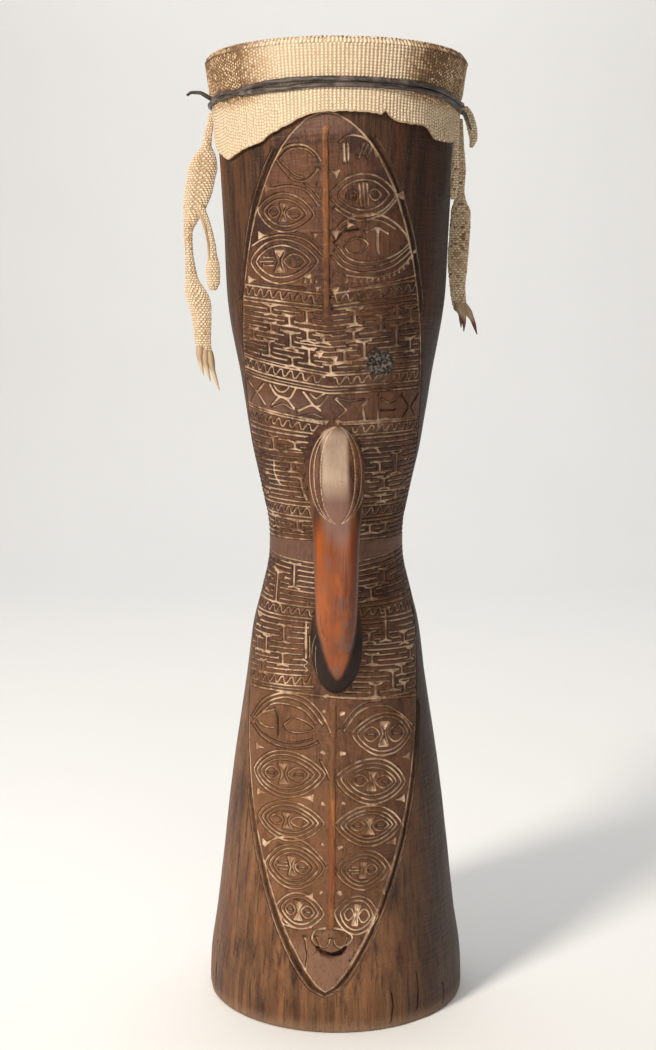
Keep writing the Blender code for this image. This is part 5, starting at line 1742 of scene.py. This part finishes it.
def floor_paper(colours):
    """Plain pale studio floor."""
    material, net, shader, where = blank("pale floor", Roughness=0.9)
    tone = net.mix(net.noise(where, 3.0, 2.0), colours.floor, colours.floor_pale)
    net.give(shader.inputs["Base Color"], tone)
    return material


def length(name, value, words):
    """Length property."""
    return FloatProperty(name=name, description=words, default=value, min=0.0, unit="LENGTH", precision=4)


def colour(name, value, words):
    """Colour property."""
    return FloatVectorProperty(name=name, description=words, default=value, subtype="COLOR", size=3,
                               min=0.0, max=1.0)


class KunduLogSizes(bpy.types.PropertyGroup):
    """Sizes of the carved log."""

    drum_height: length("Height", DRUM_HEIGHT, "Height of the whole drum")
    base_radius: length("Base radius", 84 * MM, "Outer radius of the open base")
    waist_radius: length("Waist radius", 43 * MM, "Outer radius at the narrowest place")
    waist_height: length("Waist height", 299 * MM, "Height of the narrowest place")
    head_radius: length("Head radius", 80.1 * MM, "Outer radius under the hide")
    base_wall: length("Base wall", 11 * MM, "Thickness of the wood at the base")
    waist_wall: length("Waist wall", 16 * MM, "Thickness of the wood at the waist")
    head_wall: length("Head wall", 8 * MM, "Thickness of the wood at the head")
    leaf_half_width: length("Leaf half width", 73 * MM, "Half of the carved leaf's greatest width")
    line_width: length("Line width", 1.9 * MM, "Width of a carved line")
    line_depth: length("Line depth", 1.15 * MM, "Depth of a carved line")
    sides: IntProperty(name="Sides", description="Points round the log", default=144, min=24)


class KunduGripSizes(bpy.types.PropertyGroup):
    """Sizes of the loop handle."""

    width: length("Grip width", 27 * MM, "Width of the grip")
    depth: length("Grip depth", 17 * MM, "Thickness of the grip")
    finger_gap: length("Finger gap", 19.5 * MM, "Room between the grip and the waist")
    root_sink: length("Root sink", 7 * MM, "How deep the ends sit in the log")
    voxel: length("Voxel", 0.75 * MM, "Fineness of the blended surface")


class KunduBindingSizes(bpy.types.PropertyGroup):
    """Sizes of the hide and the vine."""

    hide: length("Hide", HIDE, "Thickness of the hide")
    vine: length("Vine", 3 * MM, "Thickness of the vine")
    sides: IntProperty(name="Sides", description="Points round the hide", default=400, min=36)


class KunduColours(bpy.types.PropertyGroup):
    """Finishes of the drum."""

    wood: colour("Wood", (0.090, 0.036, 0.013), "Plain sides of the log")
    # dark grain and streaks, and also the painted shade towards the right and on the walls of the cuts
    wood_dark_and_shade: colour("Dark wood", (0.021, 0.007, 0.003), "Deep grain and dirt")
    wood_light: colour("Worn wood", (0.225, 0.100, 0.040), "Worn lower flare")
    wood_red: colour("Red wood", (0.165, 0.046, 0.012), "Reddish streaks")
    leaf: colour("Leaf", (0.124, 0.047, 0.019), "Raised ground of the carving")
    leaf_dark: colour("Dark leaf", (0.036, 0.012, 0.006), "Dark ground of the carving")
    tan: colour("Tan", (0.39, 0.205, 0.100), "Old lime, stained brown")
    lime: colour("Lime", (0.76, 0.55, 0.38), "Lime in the cuts")
    ochre: colour("Ochre", (0.42, 0.170, 0.036), "Colour of the midrib")
    dust: colour("Dust", (0.40, 0.29, 0.21), "Dust on the handle's root")
    grip: colour("Grip", (0.205, 0.052, 0.015), "Rubbed grip")
    # the grip's streaks, and its painted highlight on the left edge
    grip_streak_and_highlight: colour("Grip edge", (0.30, 0.072, 0.009), "Bright edge of the grip")
    # grain of the grip, and its painted shade on the right side
    grip_dark: colour("Dark grip", (0.085, 0.014, 0.004), "Shaded side of the grip")
    hide_under: colour("Skin", (0.46, 0.33, 0.20), "Skin between the scales")
    hide_dark: colour("Dark skin", (0.125, 0.066, 0.030), "Stained skin")
    scale_light: colour("Pale scale", (0.71, 0.575, 0.415), "Palest scales")
    scale_mid: colour("Tan scale", (0.54, 0.365, 0.200), "Most scales")
    scale_dark: colour("Brown scale", (0.20, 0.105, 0.045), "Speckles")
    vine: colour("Vine", (0.105, 0.080, 0.070), "Bark of the vine")
    vine_dark: colour("Dark vine", (0.020, 0.013, 0.011), "Gaps in the bark")
    vine_pale: colour("Pale vine", (0.20, 0.155, 0.135), "Rubbed bark")
    snout: colour("Snout", (0.235, 0.125, 0.080), "Rubbed lower tip of the leaf")
    belt: colour("Belt", (0.165, 0.085, 0.060), "Plain bands of the leaf")
    # painted reflection down the middle of the grip
    grip_reflection_tint: colour("Grip reflection", (0.165, 0.078, 0.058), "Painted reflection down the grip")
    pit_dark: colour("Pit", (0.012, 0.008, 0.007), "Hollows of the rough patch")
    pit_light: colour("Pit grit", (0.20, 0.165, 0.14), "Grit of the rough patch")
    foot: colour("Foot", (0.30, 0.185, 0.115), "Scuffed foot of the log")
    mauve: colour("Mauve", (0.205, 0.112, 0.088), "Dull wood above the grip")
    dust_dark: colour("Dark dust", (0.27, 0.19, 0.145), "Stained dust on the handle's root")
    # painted shade under the grip
    grip_underside_shade: colour("Grip underside shade", (0.012, 0.006, 0.004), "Black wood below the grip")
    claw_pale: colour("Pale claws", (0.60, 0.46, 0.29), "Claws of the left leg")
    claw_red: colour("Red claws", (0.15, 0.052, 0.028), "Claws of the right leg")
    floor: colour("Floor", (0.80, 0.80, 0.79), "Studio floor")
    floor_pale: colour("Pale floor", (0.83, 0.83, 0.82), "Cloudy light patches of the floor")


def hold(piece, slot_name, *nodes):
    """Tie a finished piece to the model."""
    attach(piece, "root")
    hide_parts(*nodes)


def shared(name, make):
    """Node group that is made once."""
    return bpy.data.node_groups.get(name) or make()


def hide_shape(scene):
    """Shape of the hide over this log."""
    return HideShape(LogShape(scene.kundu_log), scene.kundu_binding.hide)


class KUNDU_OT_log(bpy.types.Operator):
    """Carve the log with its hollow"""

    bl_idname = "kundu.log"
    bl_label = "Carve the log"

    def execute(self, context):
        scene = context.scene
        piece = log_piece(scene.kundu_log, LogShape(scene.kundu_log), log_wood(scene.kundu_colours))
        hold(piece, "carved_wood", "drum_body")
        return {"FINISHED"}


class KUNDU_OT_handle(bpy.types.Operator):
    """Shape the loop handle"""

    bl_idname = "kundu.handle"
    bl_label = "Shape the handle"

    def execute(self, context):
        scene = context.scene
        piece = handle_piece(LogShape(scene.kundu_log), scene.kundu_grip, handle_wood(scene.kundu_colours))
        hold(piece, "carved_wood", "drum_body")
        return {"FINISHED"}


class KUNDU_OT_hide(bpy.types.Operator):
    """Stretch the hide, with its legs and scales"""

    bl_idname = "kundu.hide"
    bl_label = "Stretch the hide"

    def execute(self, context):
        scene = context.scene
        shape = hide_shape(scene)
        skin = hide_skin(scene.kundu_colours)
        scales = scale_skin(scene.kundu_colours)
        hold(hide_piece(shape, skin, scene.kundu_binding.sides), "lizard_hide", "lizard_skin")
        hold(legs_piece(skin), "lizard_hide", "lizard_skin")
        hold(scales_piece("hide_scales", collar_scales(shape), scales), "lizard_hide", "lizard_skin")
        hold(scales_piece("leg_scales", leg_scales(), scales), "lizard_hide", "lizard_skin")
        hold(shreds_piece(skin), "lizard_hide", "lizard_skin")
        return {"FINISHED"}


class KUNDU_OT_vine(bpy.types.Operator):
    """Wind the vine round the collar"""

    bl_idname = "kundu.vine"
    bl_label = "Wind the vine"

    def execute(self, context):
        scene = context.scene
        piece = vine_piece(hide_shape(scene), scene.kundu_binding.vine / 2, vine_bark(scene.kundu_colours))
        hold(piece, "vine", "binding_vine")
        return {"FINISHED"}


class KUNDU_OT_stage(bpy.types.Operator):
    """Set the floor, the lights and the camera"""

    bl_idname = "kundu.stage"
    bl_label = "Set the stage"

    def execute(self, context):
        scene = context.scene
        bend = [(SWEEP_START + SWEEP_RADIUS * math.sin(t), SWEEP_RADIUS - SWEEP_RADIUS * math.cos(t))
                for t in np.linspace(0.1, 1.5, 14)]
        run = [(-5.0, 0.0), (SWEEP_START, 0.0), *bend, (2.9, 6.0)]
        verts = [(x, y, z) for y, z in run for x in (-7.0, 7.0)]
        faces = [(2 * i, 2 * i + 1, 2 * i + 3, 2 * i + 2) for i in range(len(run) - 1)]
        floor = solid("floor", verts, faces, floor_paper(scene.kundu_colours))
        world = bpy.data.worlds.new("studio")
        world.use_nodes = True
        background = world.node_tree.nodes["Background"]
        background.inputs["Color"].default_value = (1.0, 0.97, 0.93, 1)
        background.inputs["Strength"].default_value = 0.18
        scene.world = world
        for name, place, aim, size, power, tint in LIGHTS:
            data = bpy.data.lights.new(name, "AREA")
            data.shape = "DISK"
            data.size = size
            data.energy = power
            data.color = tint
            light = linked(name, data)
            light.location = place
            light.rotation_euler = (Vector(aim) - Vector(place)).to_track_quat("-Z", "Y").to_euler()
        data = bpy.data.cameras.new("camera")
        data.sensor_fit = "AUTO"
        data.lens = CAMERA_LENS
        camera = linked("camera", data)
        camera.location = CAMERA_PLACE
        camera.rotation_euler = (math.radians(90 - CAMERA_DOWN), 0, 0)
        scene.camera = camera
        scene.view_settings.view_transform = "Standard"
        return {"FINISHED"}


class KUNDU_PT_drum(bpy.types.Panel):
    """Steps that build the drum"""

    bl_idname = "KUNDU_PT_drum"
    bl_label = "Kundu Drum"
    bl_space_type = "VIEW_3D"
    bl_region_type = "UI"
    bl_category = "Drum"

    def draw(self, context):
        layout = self.layout
        for step in STEPS:
            layout.operator(step.bl_idname)
        for held in ("kundu_log", "kundu_grip", "kundu_binding", "kundu_colours"):
            sizes = getattr(context.scene, held)
            box = layout.box()
            for name in sizes.bl_rna.properties.keys():
                if name not in ("rna_type", "name"):
                    box.prop(sizes, name)


STEPS = (KUNDU_OT_log, KUNDU_OT_handle, KUNDU_OT_hide, KUNDU_OT_vine, KUNDU_OT_stage)
GROUPS = {"kundu_log": KunduLogSizes, "kundu_grip": KunduGripSizes, "kundu_binding": KunduBindingSizes,
          "kundu_colours": KunduColours}


def register():
    for kind in (*GROUPS.values(), *STEPS, KUNDU_PT_drum):
        bpy.utils.register_class(kind)
    for name, kind in GROUPS.items():
        setattr(bpy.types.Scene, name, PointerProperty(type=kind))


def unregister():
    for name in GROUPS:
        delattr(bpy.types.Scene, name)
    for kind in (KUNDU_PT_drum, *reversed(STEPS), *GROUPS.values()):
        bpy.utils.unregister_class(kind)


def main():
    register()
    bpy.ops.kundu.log()
    bpy.ops.kundu.handle()
    bpy.ops.kundu.hide()
    bpy.ops.kundu.vine()
    bpy.ops.kundu.stage()


if __name__ == "__main__":
    main()
